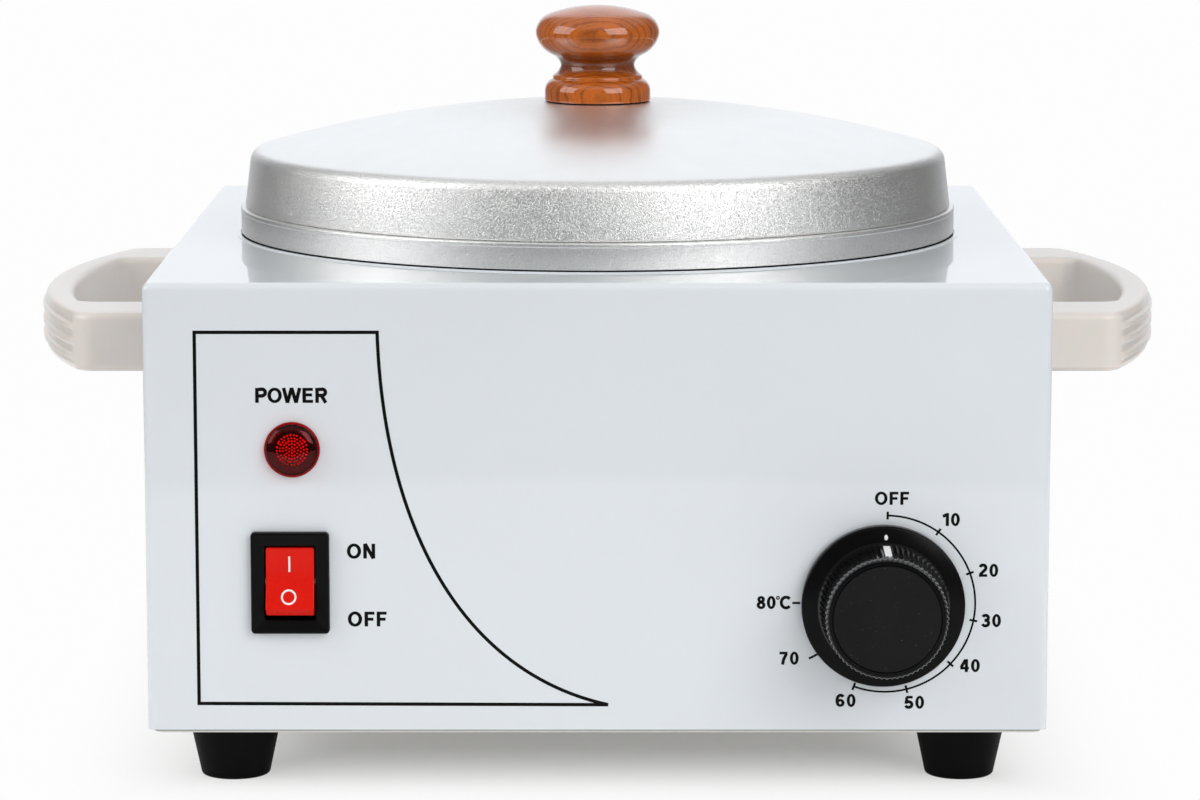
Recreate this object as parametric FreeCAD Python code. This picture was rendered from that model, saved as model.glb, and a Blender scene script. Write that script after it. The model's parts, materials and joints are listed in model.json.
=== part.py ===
import FreeCAD, Part
import math
import os

from FreeCAD import Vector

os.makedirs("parts", exist_ok=True)

# Single-pot wax warmer. X runs to the right, Y from the front panel to the back, Z up.
# Lengths are millimetres. Shapes are modelled about the case's vertical centre line, with
# z = 0 on the surface that the feet stand on, and moved along Y when they are written, so
# that the origin is under the middle of the whole object.

# Fits
running_gap = 0.05
thread_gap = 0.05
seat_gap = 0.3
hole_gap = 0.4

# Sheet-steel case and base plate. The case stands out past the pot's rim on every side.
case_side_margin = 16.9
case_end_margin = 21.9
case_height = 120.0
sheet = 1.0
case_fold = 2.0
case_flange = 12.0
base_inset = 1.5
base_corner = 3.0
base_screw_pitch = 80.0
base_screw_spread = 120.0
base_screw_length = 6.0
vent_length = 40.0
vent_width = 3.0
vent_pitch = 10.0
vent_count = 5
vent_offset = 45.0

# Screws: M3 and M4 pan heads, M5 stud
m3_radius = 1.5
m3_head_radius = 2.9
m3_head_height = 1.9
m4_radius = 2.0
m4_head_radius = 3.9
m4_head_height = 2.4
m4_nut_radius = 4.0
m4_nut_height = 3.2
m4_washer_radius = 4.6
m4_washer_thickness = 0.8
m5_radius = 2.5
m5_nut_radius = 4.6
m5_nut_height = 4.0
recess_width = 0.9
recess_share = 0.6

# Feet
foot_height = 16.0
foot_top_radius = 12.6
foot_bottom_radius = 9.2
foot_edge = 1.0
foot_recess_radius = 5.2
foot_recess_depth = 8.0
foot_inset_x = 21.6
foot_inset_y = 23.0

# Handles
handle_reach = 38.9
handle_half_depth = 77.0
handle_height = 16.3
handle_drop = 14.2
handle_grip = 8.0
handle_arm = 26.0
handle_end_radius = 192.0
handle_corner = 7.0
handle_inner_corner = 5.0
handle_edge = 2.0
rib_count = 3
rib_pitch = 4.1
rib_width = 1.9
rib_height = 0.5
rib_drop = 0.0
rib_setback = 15.0
handle_screw_length = 14.0

# Pot
rim_radius = 103.1
rim_width = 7.1
rim_height = 7.4
pot_wall = 1.2
pot_depth = 84.0
pot_corner = 10.0
rim_gap = 0.6
rim_edge = 0.8
rim_flare = 4.5
lip_height = 3.0

# Lid
lid_sheet = 1.2
lid_inset = 1.3
lid_clearance = 0.7
lid_skirt_height = 15.7
lid_taper = 1.9
lid_rise = 14.0
lid_shoulder = 5.0
lid_hole_radius = 2.4

# Lid knob
gasket_thickness = 0.4
gasket_inset = 0.5
knob_height = 26.7
knob_base_radius = 15.1
knob_base_height = 2.6
knob_shoulder_radius = 12.85
knob_shoulder_height = 7.0
knob_neck_radius = 10.6
knob_neck_height = 9.9
knob_flare_radius = 12.7
knob_flare_height = 12.75
knob_ball_radius = 17.5
knob_ball_height = 19.2
knob_crown_radius = 12.3
knob_crown_height = 24.6
knob_roll = 0.65
knob_cove = 0.4
knob_swell = 0.85
knob_screw_length = 18.0

# Heating well
well_gap = 1.5
well_wall = 1.2
well_flange_thickness = 1.0
well_flange_gap = 0.6
well_hole_gap = 0.6
spacer_radius = 5.0
stud_tail = 5.0

# Band heater and insulation
heater_lift = 14.0
heater_height = 40.0
heater_thickness = 2.2
heater_split = 5.0
heater_lug_thickness = 2.0
heater_lug_reach = 12.0
heater_lug_height = 16.0
heater_bolt_reach = 7.5
heater_block_width = 10.0
heater_block_height = 9.0
heater_block_reach = 10.0
heater_block_offset = 12.0
blanket_thickness = 6.0
blanket_overlap = 3.0
blanket_gap_angle = 28.0
strap_thickness = 0.5
strap_width = 6.0
strap_inset = 3.0

# Pilot lamp
pilot_inset = 39.3
pilot_rise = 75.8
pilot_lens_radius = 7.4
pilot_lens_flange = 1.4
pilot_lens_height = 3.6
pilot_lens_dome_radius = 6.5
pilot_lens_wall = 1.2
pilot_body_radius = 6.0
pilot_body_length = 22.0
pilot_body_wall = 1.2
pilot_nut_radius = 9.0
pilot_nut_thickness = 1.2
neon_radius = 2.8
neon_length = 14.0

# Rocker switch
switch_inset = 38.5
switch_rise = 40.1
bezel_width = 20.8
bezel_height = 27.3
bezel_proud = 2.2
bezel_bevel = 0.8
switch_body_width = 18.6
switch_body_height = 24.6
switch_body_depth = 19.0
rocker_opening_width = 13.8
rocker_opening_height = 19.8
rocker_cavity_depth = 8.5
rocker_side_gap = 0.35
rocker_tilt = 10.0
rocker_pivot_depth = 1.75
rocker_valley_proud = 3.2
rocker_valley_round = 18.0
rocker_tip_rise = 7.6
rocker_tip_proud = 4.6
rocker_tip_round = 0.6
rocker_end_rise = 9.3
rocker_end_proud = 2.4
rocker_back_rise = 8.0
rocker_back_depth = 1.2
rocker_hub_rise = 3.0
rocker_hub_depth = 3.2
rocker_pin_radius = 0.9
rocker_pin_grip = 1.3

# Push-on terminal tabs
tab_width = 4.8
tab_thickness = 0.8
tab_length = 6.0
switch_tab_pitch_x = 6.0
switch_tab_pitch_z = 12.0
pilot_tab_pitch = 7.0

# Thermostat and its knob
dial_inset = 44.2
dial_rise = 34.2
thermostat_width = 38.0
thermostat_height = 34.0
thermostat_depth = 24.0
thermostat_screw_spread = 28.0
thermostat_screw_length = 7.0
thermostat_tab_rise = 6.0
shaft_radius = 3.0
shaft_flat = 2.2
shaft_engagement = 14.0
shaft_proud = 15.5
dial_knob_gap = 1.0
dial_knob_proud = 21.0
skirt_radius = 21.7
skirt_rim_proud = 4.2
skirt_edge = 0.8
skirt_wall = 1.8
grip_base_radius = 17.1
grip_front_radius = 16.15
grip_base_proud = 5.3
grip_chamfer = 0.7
grip_wall = 2.2
flute_count = 72
flute_radius = 0.6
flute_depth = 0.3
dial_boss_radius = 5.5
dial_boss_proud = 3.5
dial_cap_radius = 14.1
dial_cap_thickness = 1.0
dial_cap_gap = 0.2
pointer_width = 1.5
pointer_depth = 1.0
pointer_proud = 0.1
dot_radius = 0.7
dot_depth = 0.8

# Sensor bulb, its clip and capillary
bulb_radius = 3.2
bulb_length = 70.0
bulb_offset_x = 15.0
bulb_offset_y = 52.0
clip_wall = 0.8
clip_length = 12.0
clip_foot = 7.0
capillary_radius = 0.8
capillary_inset = 5.0
capillary_drop = 10.0

# Thermal cut-out
cutout_x = -45.0
cutout_y = 30.0
cutout_radius = 8.0
cutout_height = 8.0
bracket_thickness = 1.0
bracket_width = 12.0
bracket_foot = 8.0

# Terminal block and earth stud
block_inset_x = 68.0
block_inset_y = 29.0
block_width = 30.0
block_depth = 16.0
block_height = 14.0
block_ways = 3
block_port_rise = 7.0
block_port_radius = 1.8
block_port_depth = 5.0
block_screw_radius = 1.8
block_screw_height = 1.0
earth_inset_x = 32.0
earth_inset_y = 65.0
earth_stud_height = 10.0
tag_thickness = 1.0
tag_radius = 4.5
tag_barrel_radius = 1.8
tag_barrel_length = 7.0
tag_neck = 0.5

# Cord gland in the back panel
gland_inset = 42.0
gland_rise = 28.0
gland_bore = 3.75
gland_thread_radius = 6.0
gland_flange_radius = 9.5
gland_flange_thickness = 3.0
gland_front_thread = 8.0
gland_stem = 9.0
gland_cap_radius = 8.8
gland_cap_face = 4.0
gland_cap_edge = 1.5
gland_seal_thickness = 1.6
gland_nut_radius = 8.8
gland_nut_thickness = 4.0

# Leads. Their routes are laid out in steps, and the arc between two runs takes this share of
# the shorter one.
lead_radius = 1.2
lead_step = 8.0
arc_share = 0.45

# Levels and radii that follow
case_width = 2 * (rim_radius + case_side_margin)
case_depth = 2 * (rim_radius + case_end_margin)
case_bottom = foot_height + sheet
case_top = case_bottom + case_height
base_bottom = foot_height
base_top = case_bottom
front_face = -case_depth / 2
back_face = case_depth / 2
side_face = case_width / 2

rim_bottom = case_top + rim_gap
rim_top = rim_bottom + rim_height
pot_radius = rim_radius - rim_width
pot_floor = rim_top - pot_depth
pot_bottom = pot_floor - pot_wall
lid_radius = rim_radius - lid_inset
lid_inner_radius = lid_radius - lid_sheet
lip_radius = lid_inner_radius - lid_clearance
lid_edge = rim_top + lid_skirt_height
lid_peak = lid_edge + lid_rise

well_inner = pot_radius + well_gap
well_outer = well_inner + well_wall
well_floor = pot_bottom
well_bottom = well_floor - well_wall
well_flange_radius = rim_radius - pot_wall - well_flange_gap

heater_inner = well_outer + seat_gap
heater_outer = heater_inner + heater_thickness
heater_bottom = well_bottom + heater_lift
heater_top = heater_bottom + heater_height
heater_middle = (heater_bottom + heater_top) / 2
heater_bolt_y = heater_outer + heater_bolt_reach
blanket_inner = heater_outer + seat_gap
blanket_outer = blanket_inner + blanket_thickness
strap_inner = blanket_outer + seat_gap
strap_outer = strap_inner + strap_thickness
blanket_bottom = heater_bottom - blanket_overlap
blanket_top = heater_top + blanket_overlap

gland_reach = gland_flange_thickness + gland_front_thread + gland_seal_thickness + gland_cap_face
origin_shift = (dial_knob_proud - gland_reach) / 2


def box(low, high):
    """Block between its lowest and its highest corner."""
    size = [b - a for a, b in zip(low, high)]
    return Part.makeBox(*size, Vector(*low))


def centred_box(width, depth, low, high):
    """Block centred on the Z axis, between two heights."""
    return box((-width / 2, -depth / 2, low), (width / 2, depth / 2, high))


def disc(radius, low, high):
    """Cylinder about the Z axis, between two heights."""
    return Part.makeCylinder(radius, high - low, Vector(0, 0, low))


def ring(outer, inner, low, high):
    """Tube about the Z axis, between two heights."""
    return disc(outer, low, high).cut(disc(inner, low, high))


def hexagon(radius, bore, low, high):
    """Nut about the Z axis; the radius reaches its corners."""
    corners = [Vector(radius * math.cos(math.radians(60 * i)),
                      radius * math.sin(math.radians(60 * i)), low) for i in range(7)]
    blank = Part.Face(Part.makePolygon(corners)).extrude(Vector(0, 0, high - low))
    return blank.cut(disc(bore, low, high))


def tangent_arc(before, corner, after, radius):
    """Start, middle and end of the arc that rounds a corner between two straight runs."""
    way_in = (corner - before).normalize()
    way_out = (after - corner).normalize()
    half_turn = way_in.getAngle(way_out) / 2
    trim = radius * math.tan(half_turn)
    inward = (way_out - way_in).normalize()
    middle = corner + inward * (radius / math.cos(half_turn) - radius)
    return corner - way_in * trim, middle, corner + way_out * trim


def outline_face(entries, place):
    """Face inside a closed outline. An entry is a point (u, v), a corner (u, v, radius) that is
    rounded, or an arc ((u, v) on its way, (u, v) at its end). The first one is a plain point.
    place turns u and v into a point in space."""
    points = [place(*(entry[1] if isinstance(entry[0], tuple) else entry[:2])) for entry in entries]
    edges = []
    here = points[0]
    for i, entry in enumerate(entries[1:] + entries[:1], 1):
        there = points[i % len(points)]
        if isinstance(entry[0], tuple):
            edges.append(Part.Arc(here, place(*entry[0]), there).toShape())
        elif len(entry) == 3:
            start, middle, end = tangent_arc(here, there, points[(i + 1) % len(points)], entry[2])
            edges.append(Part.LineSegment(here, start).toShape())
            edges.append(Part.Arc(start, middle, end).toShape())
            there = end
        else:
            edges.append(Part.LineSegment(here, there).toShape())
        here = there
    return Part.Face(Part.Wire(edges))


def turned(entries):
    """Solid of revolution about Z; u is the radius and v the height."""
    face = outline_face(entries, lambda radius, height: Vector(radius, 0, height))
    return face.revolve(Vector(0, 0, 0), Vector(0, 0, 1), 360)


def dome_middle(radius, low, high):
    """Middle of the arc of a dome: low at this radius, high on the Z axis."""
    rise = high - low
    sphere = (radius ** 2 + rise ** 2) / (2 * rise)
    return (radius / 2, high - sphere + math.sqrt(sphere ** 2 - radius ** 2 / 4))


def moved(shape, x, y, z):
    """Copy of a shape, shifted."""
    copy = shape.copy()
    copy.translate(Vector(x, y, z))
    return copy


def turned_to(shape, axis, degrees, x, y, z):
    """Copy of a shape, turned about an axis through the origin and then shifted."""
    copy = shape.copy()
    copy.rotate(Vector(0, 0, 0), axis, degrees)
    copy.translate(Vector(x, y, z))
    return copy


def on_front(shape, x, z):
    """Place a shape on the front panel; its +Z becomes the way out of the panel."""
    return turned_to(shape, Vector(1, 0, 0), 90, x, front_face, z)


def on_back(shape, x, z):
    """Place a shape on the back panel; its +Z becomes the way out of the panel."""
    return turned_to(shape, Vector(1, 0, 0), -90, x, back_face, z)


def on_side(shape, side, y, z):
    """Place a shape on the left (-1) or right (+1) panel; its +Z becomes the way out."""
    return turned_to(shape, Vector(0, 1, 0), 90 * side, side * side_face, y, z)


def mirrored(shape):
    """Copy of a shape, mirrored from the right side to the left."""
    return shape.mirror(Vector(0, 0, 0), Vector(1, 0, 0))


def group(shapes):
    """Several separate solids in one node."""
    return Part.makeCompound(shapes)


def screw(radius, length, head_radius, head_height):
    """Pan-head screw along -Z, seated at z = 0, with a cross recess."""
    head = disc(head_radius, 0, head_height)
    crown = [edge for edge in head.Edges if edge.BoundBox.ZMin > head_height / 2]
    head = head.makeFillet(head_height * recess_share / 2, crown)
    for width, depth in ((head_radius, recess_width), (recess_width, head_radius)):
        head = head.cut(centred_box(width, depth, head_height * (1 - recess_share), head_height))
    return head.fuse(disc(radius, -length, 0)).removeSplitter()


def m3_screw(length):
    return screw(m3_radius, length, m3_head_radius, m3_head_height)


def m4_screw(length):
    return screw(m4_radius, length, m4_head_radius, m4_head_height)


def m4_washer(low):
    return ring(m4_washer_radius, m4_radius + thread_gap, low, low + m4_washer_thickness)


def m4_nut(low):
    return hexagon(m4_nut_radius, m4_radius + thread_gap, low, low + m4_nut_height)


def upside_down(shape, x, y, z):
    """Place a screw so that it is driven upwards."""
    return turned_to(shape, Vector(1, 0, 0), 180, x, y, z)


def tab(length):
    """Push-on terminal tab that stands up from z = 0."""
    return centred_box(tab_thickness, tab_width, 0, length)


def swept(points, radius):
    """Round tube along straight runs that are joined by tangent arcs, as large as they can be."""
    points = [Vector(*point) for point in points]
    edges = []
    radii = []
    here = points[0]
    for before, corner, after in zip(points, points[1:], points[2:]):
        half_turn = (corner - before).getAngle(after - corner) / 2
        shorter = min((corner - before).Length, (after - corner).Length)
        radii.append(arc_share * shorter / math.tan(half_turn))
        start, middle, end = tangent_arc(before, corner, after, radii[-1])
        edges.append(Part.LineSegment(here, start).toShape())
        edges.append(Part.Arc(start, middle, end).toShape())
        here = end
    edges.append(Part.LineSegment(here, points[-1]).toShape())
    path = Part.Wire(edges)
    section = Part.Wire(Part.makeCircle(radius, points[0], points[1] - points[0]))
    tube = path.makePipeShell([section], True, False)
    print("tube of radius", radius, "length", round(path.Length, 1),
          "arc radii", [round(r, 1) for r in radii],
          "volume ratio", round(tube.Volume / (math.pi * radius ** 2 * path.Length), 4))
    return tube


def lead(points):
    return swept(points, lead_radius)


def walked(start, *moves):
    """Points of a route: a start, and where each move takes it, counted in lead steps."""
    points = [start]
    for move in moves:
        points.append(tuple(a + lead_step * b for a, b in zip(points[-1], move)))
    return points


def round_well(angle, height):
    """Point halfway between the blanket's straps and the case's side, from +X towards +Y."""
    radius = (strap_outer + side_face - sheet) / 2
    return (radius * math.cos(math.radians(angle)), radius * math.sin(math.radians(angle)), height)


# Places of the fittings
foot_places = {"front_left": (-1, -1), "front_right": (1, -1), "rear_left": (-1, 1), "rear_right": (1, 1)}
foot_x = side_face - foot_inset_x
foot_y = back_face - foot_inset_y
flange_x = side_face - sheet - case_flange / 2
flange_y = back_face - sheet - case_flange / 2
base_screw_places = [(side * flange_x, row * base_screw_pitch) for side in (-1, 1) for row in (-1, 0, 1)]
base_screw_places += [(side * base_screw_spread / 2, flange_y) for side in (-1, 1)]
handle_middle = case_top - handle_drop - handle_height / 2
handle_screw_y = handle_half_depth - handle_arm / 2
pilot_x = -side_face + pilot_inset
pilot_z = case_bottom + pilot_rise
switch_x = -side_face + switch_inset
switch_z = case_bottom + switch_rise
dial_x = side_face - dial_inset
dial_z = case_bottom + dial_rise
gland_x = side_face - gland_inset
gland_z = case_bottom + gland_rise
bulb_z = well_bottom - bulb_radius - seat_gap
block_x = side_face - block_inset_x
block_y = back_face - block_inset_y
earth_x = side_face - earth_inset_x
earth_y = back_face - earth_inset_y


def folded_box(width, depth, low, high, radius):
    """Block with rounded upright and top edges."""
    block = centred_box(width, depth, low, high)
    edges = [edge for edge in block.Edges if edge.BoundBox.ZMax > low + radius]
    return block.makeFillet(radius, edges)


def outer_case():
    shell = folded_box(case_width, case_depth, case_bottom, case_top, case_fold)
    hollow = folded_box(case_width - 2 * sheet, case_depth - 2 * sheet,
                        case_bottom, case_top - sheet, case_fold - sheet)
    shell = shell.cut(hollow)
    flange = centred_box(case_width - sheet, case_depth - sheet, case_bottom, case_bottom + sheet)
    window = centred_box(2 * flange_x - case_flange, 2 * flange_y - case_flange,
                         case_bottom, case_bottom + sheet)
    keep = folded_box(case_width, case_depth, case_bottom, case_top, case_fold)
    shell = shell.fuse(flange.cut(window).common(keep))
    cuts = [disc(well_outer + well_hole_gap, case_top - sheet, case_top)]
    cuts += [moved(disc(m3_radius + thread_gap, case_bottom, case_bottom + sheet), x, y, 0)
             for x, y in base_screw_places]
    for side in (-1, 1):
        for end in (-1, 1):
            hole = disc(m4_radius + hole_gap, -sheet, 0)
            cuts.append(on_side(hole, side, end * handle_screw_y, handle_middle))
    cuts.append(on_front(disc(pilot_body_radius + seat_gap, -sheet, 0), pilot_x, pilot_z))
    opening = centred_box(switch_body_width + 2 * seat_gap, switch_body_height + 2 * seat_gap, -sheet, 0)
    cuts.append(on_front(opening, switch_x, switch_z))
    cuts.append(on_front(disc(shaft_radius + hole_gap, -sheet, 0), dial_x, dial_z))
    for side in (-1, 1):
        hole = disc(m4_radius + hole_gap, -sheet, 0)
        cuts.append(on_front(hole, dial_x + side * thermostat_screw_spread / 2, dial_z))
    cuts.append(on_back(disc(gland_thread_radius + seat_gap, -sheet, 0), gland_x, gland_z))
    return shell.cut(cuts).removeSplitter()


def base_plate():
    plate = centred_box(case_width - 2 * base_inset, case_depth - 2 * base_inset, base_bottom, base_top)
    uprights = [edge for edge in plate.Edges if edge.BoundBox.ZLength > sheet / 2]
    plate = plate.makeFillet(base_corner, uprights)
    cuts = [moved(disc(m3_radius + hole_gap, base_bottom, base_top), x, y, 0) for x, y in base_screw_places]
    cuts += [moved(disc(m4_radius + hole_gap, base_bottom, base_top), a * foot_x, b * foot_y, 0)
             for a, b in foot_places.values()]
    cuts.append(disc(m5_radius + hole_gap, base_bottom, base_top))
    for side in (-1, 1):
        for i in range(vent_count):
            x = side * vent_offset + (i - (vent_count - 1) / 2) * vent_pitch
            slot = centred_box(vent_width, vent_length, base_bottom, base_top)
            cuts.append(moved(slot, x, 0, 0))
    return plate.cut(cuts)


def foot():
    """Tapered rubber foot about the Z axis, with a recess for its screw."""
    body = turned([(0, 0), (foot_bottom_radius, 0, foot_edge), (foot_top_radius, foot_height),
                   (0, foot_height)])
    body = body.cut(disc(foot_recess_radius, 0, foot_recess_depth))
    return body.cut(disc(m4_radius + hole_gap, foot_recess_depth, foot_height))


def case_hardware():
    """Screws, washers and nuts of the feet and the handles, with the other nuts of that size."""
    foot_seat = foot_recess_depth - m4_washer_thickness
    foot_screw = m4_screw(base_top + m4_nut_height - foot_seat)
    foot_points = [(a * foot_x, b * foot_y) for a, b in foot_places.values()]
    handle_seat = -sheet - m4_washer_thickness
    handle_screw = upside_down(m4_screw(handle_screw_length), 0, 0, handle_seat)
    handle_points = [(side, end * handle_screw_y) for side in (-1, 1) for end in (-1, 1)]
    washers = [moved(m4_washer(foot_seat), x, y, 0) for x, y in foot_points]
    washers += [on_side(m4_washer(handle_seat), side, y, handle_middle) for side, y in handle_points]
    nuts = [moved(m4_nut(base_top), x, y, 0) for x, y in foot_points]
    nuts.append(moved(m4_nut(base_top + tag_thickness), earth_x, earth_y, 0))
    nuts.append(turned_to(m4_nut(0), Vector(0, 1, 0), -90,
                          -heater_split - heater_lug_thickness, heater_bolt_y, heater_middle))
    return {"foot_screws": group([upside_down(foot_screw, x, y, foot_seat) for x, y in foot_points]),
            "handle_screws": group([on_side(handle_screw, side, y, handle_middle)
                                    for side, y in handle_points]),
            "m4_washers": group(washers), "m4_nuts": group(nuts)}


def handle_prism(reach, half_depth, end_radius, corner, low, high):
    """Outline of a D-handle on the right side, between two heights."""
    block = box((side_face, -half_depth, low), (side_face + reach, half_depth, high))
    drum = Part.makeCylinder(end_radius, high - low, Vector(side_face + reach - end_radius, 0, low))
    block = block.common(drum)
    uprights = [edge for edge in block.Edges
                if edge.BoundBox.ZLength > (high - low) / 2 and edge.BoundBox.XMin > side_face + corner / 2]
    return block.makeFillet(corner, uprights)


def right_handle():
    low = handle_middle - handle_height / 2
    high = handle_middle + handle_height / 2
    body = handle_prism(handle_reach, handle_half_depth, handle_end_radius, handle_corner, low, high)
    gap = handle_prism(handle_reach - handle_grip, handle_half_depth - handle_arm,
                       handle_end_radius, handle_inner_corner, low, high)
    body = body.cut(gap)
    rims = [edge for edge in body.Edges
            if edge.BoundBox.ZLength < handle_edge and edge.BoundBox.XMax > side_face + handle_edge]
    body = body.makeFillet(handle_edge, rims)
    start = box((side_face + handle_reach - rib_setback, -2 * handle_half_depth, low),
                (side_face + 2 * handle_reach, 2 * handle_half_depth, high))
    core = handle_prism(handle_reach - handle_edge, handle_half_depth - handle_edge,
                        handle_end_radius - handle_edge, handle_corner - handle_edge, low, high)
    for i in range(rib_count):
        z = handle_middle - rib_drop + (i - (rib_count - 1) / 2) * rib_pitch
        rib = handle_prism(handle_reach + rib_height, handle_half_depth + rib_height,
                           handle_end_radius + rib_height, handle_corner + rib_height,
                           z - rib_width / 2, z + rib_width / 2)
        body = body.fuse(rib.common(start).cut(core))
    body = body.removeSplitter()
    for end in (-1, 1):
        pilot = disc(m4_radius + thread_gap, 0, handle_screw_length - sheet)
        body = body.cut(on_side(pilot, 1, end * handle_screw_y, handle_middle))
    return body


def wax_pot():
    """Drawn pot: cup, flared lip that locates the lid, and turned-down rim."""
    inner = pot_radius - pot_wall
    lip_inner = lip_radius - pot_wall
    flare_start = rim_top - rim_flare
    return turned([(0, pot_bottom), (pot_radius, pot_bottom, pot_corner),
                   (pot_radius, flare_start - pot_wall),
                   (lip_radius - pot_wall / 2, rim_top - pot_wall),
                   (rim_radius - pot_wall, rim_top - pot_wall), (rim_radius - pot_wall, rim_bottom),
                   (rim_radius, rim_bottom), (rim_radius, rim_top, rim_edge),
                   (lip_radius, rim_top), (lip_radius, rim_top + lip_height),
                   (lip_inner, rim_top + lip_height), (lip_inner, rim_top), (inner, flare_start),
                   (inner, pot_floor, pot_corner - pot_wall), (0, pot_floor)])


def lid_form(skin):
    """Solid under the lid's outer surface, or under its inner one when skin is the sheet."""
    edge_radius = lid_radius - lid_taper - skin
    low = lid_edge - skin
    peak = lid_peak - skin
    form = turned([(0, rim_top), (lid_radius - skin, rim_top), (edge_radius, low),
                   (dome_middle(edge_radius, low, peak), (0, peak))])
    shoulder = [edge for edge in form.Edges
                if edge.BoundBox.ZMin > rim_top + lid_sheet and edge.BoundBox.ZMax < low + lid_sheet]
    return form.makeFillet(lid_shoulder - skin, shoulder)


def bowed(start, end, bow):
    """Middle of an arc between two points of an outline, bowed to the left of its way."""
    run = math.dist(start, end)
    across = ((start[1] - end[1]) / run, (end[0] - start[0]) / run)
    return ((start[0] + end[0]) / 2 + bow * across[0], (start[1] + end[1]) / 2 + bow * across[1])


def knob_form(foot):
    """Turned wooden knob that stands on a height: base, cove, neck, ball and crown."""
    base = (knob_base_radius, foot + knob_base_height)
    shoulder = (knob_shoulder_radius, foot + knob_shoulder_height)
    neck = (knob_neck_radius, foot + knob_neck_height)
    flare = (knob_flare_radius, foot + knob_flare_height)
    ball = (knob_ball_radius, foot + knob_ball_height)
    crown = (knob_crown_radius, foot + knob_crown_height)
    top = foot + knob_height
    return turned([(0, foot), (knob_base_radius, foot), base,
                   (bowed(base, shoulder, -knob_roll), shoulder),
                   (bowed(shoulder, neck, knob_cove), neck),
                   (bowed(neck, flare, knob_cove), flare),
                   (bowed(flare, ball, -knob_swell), ball),
                   (bowed(ball, crown, -knob_swell), crown),
                   (dome_middle(knob_crown_radius, crown[1], top), (0, top))])


def lid_parts():
    lid = lid_form(0).cut(lid_form(lid_sheet)).cut(disc(lid_hole_radius, rim_top, lid_peak))
    foot = lid_peak + gasket_thickness
    gasket = ring(knob_base_radius - gasket_inset, lid_hole_radius, rim_top, foot).cut(lid_form(0))
    seat = lid_peak - lid_sheet
    bore = disc(m4_radius + thread_gap, foot, seat - m4_washer_thickness + knob_screw_length)
    washer = m4_washer(seat - m4_washer_thickness).common(lid_form(lid_sheet))
    bolt = upside_down(m4_screw(knob_screw_length), 0, 0, seat - m4_washer_thickness)
    return {"lid": lid, "lid_knob_gasket": gasket, "lid_knob": knob_form(foot).cut(bore),
            "lid_knob_washer": washer, "lid_knob_screw": bolt}


def heater_well():
    """Deep-drawn well that hangs by its flange on the case top."""
    top = case_top + well_flange_thickness
    return turned([(0, well_bottom), (well_outer, well_bottom, pot_corner + well_wall),
                   (well_outer, case_top), (well_flange_radius, case_top), (well_flange_radius, top),
                   (well_inner, top), (well_inner, well_floor, pot_corner), (0, well_floor)])


def well_hardware():
    """Stud under the well, the spacer around it and the nut below the base plate."""
    stud = disc(m5_radius, base_bottom - stud_tail, well_bottom)
    spacer = ring(spacer_radius, m5_radius + hole_gap, base_top, well_bottom)
    nut = hexagon(m5_nut_radius, m5_radius + thread_gap, base_bottom - m5_nut_height, base_bottom)
    return {"well_stud": stud, "well_spacer": spacer, "well_nut": nut}


def open_ring(outer, inner, low, high, gap_angle):
    """Ring about Z with a gap at the back."""
    half = math.radians(gap_angle / 2)
    far = 2 * outer
    wedge = Part.makePolygon([Vector(0, 0, low), Vector(far * math.sin(half), far * math.cos(half), low),
                              Vector(-far * math.sin(half), far * math.cos(half), low), Vector(0, 0, low)])
    return ring(outer, inner, low, high).cut(Part.Face(wedge).extrude(Vector(0, 0, high - low)))


def heater_parts():
    gap_angle = 2 * math.degrees(math.asin(heater_split / heater_outer))
    band = open_ring(heater_outer, heater_inner, heater_bottom, heater_top, gap_angle)
    root = math.sqrt(heater_inner ** 2 - (heater_split + heater_lug_thickness) ** 2) + seat_gap
    lug_tip = heater_outer + heater_lug_reach
    half = heater_lug_height / 2
    outside = heater_split + heater_lug_thickness
    hole = turned_to(disc(m4_radius + hole_gap, -2 * outside, 2 * outside), Vector(0, 1, 0), 90,
                     0, heater_bolt_y, heater_middle)
    block_end = heater_block_offset + heater_block_width
    block_root = math.sqrt(heater_inner ** 2 - heater_block_offset ** 2) + seat_gap
    for side in (-1, 1):
        xs = sorted((side * heater_split, side * outside))
        lug = box((xs[0], root, heater_middle - half), (xs[1], lug_tip, heater_middle + half))
        xs = sorted((side * heater_block_offset, side * block_end))
        block = box((xs[0], block_root, heater_middle - heater_block_height / 2),
                    (xs[1], heater_outer + heater_block_reach, heater_middle + heater_block_height / 2))
        bore = Part.makeCylinder(heater_inner, heater_height, Vector(0, 0, heater_bottom))
        band = band.fuse(lug.cut(hole)).fuse(block.cut(bore))
    bolt = turned_to(m4_screw(2 * outside + m4_nut_height), Vector(0, 1, 0), 90,
                     outside, heater_bolt_y, heater_middle)
    blanket = open_ring(blanket_outer, blanket_inner, blanket_bottom, blanket_top, blanket_gap_angle)
    strap = ring(strap_outer, strap_inner, 0, strap_width)
    straps = [moved(strap, 0, 0, z)
              for z in (blanket_bottom + strap_inset, blanket_top - strap_inset - strap_width)]
    return {"heater_band": band.removeSplitter(), "heater_clamp_bolt": bolt,
            "insulation_blanket": blanket, "blanket_straps": group(straps)}


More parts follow.
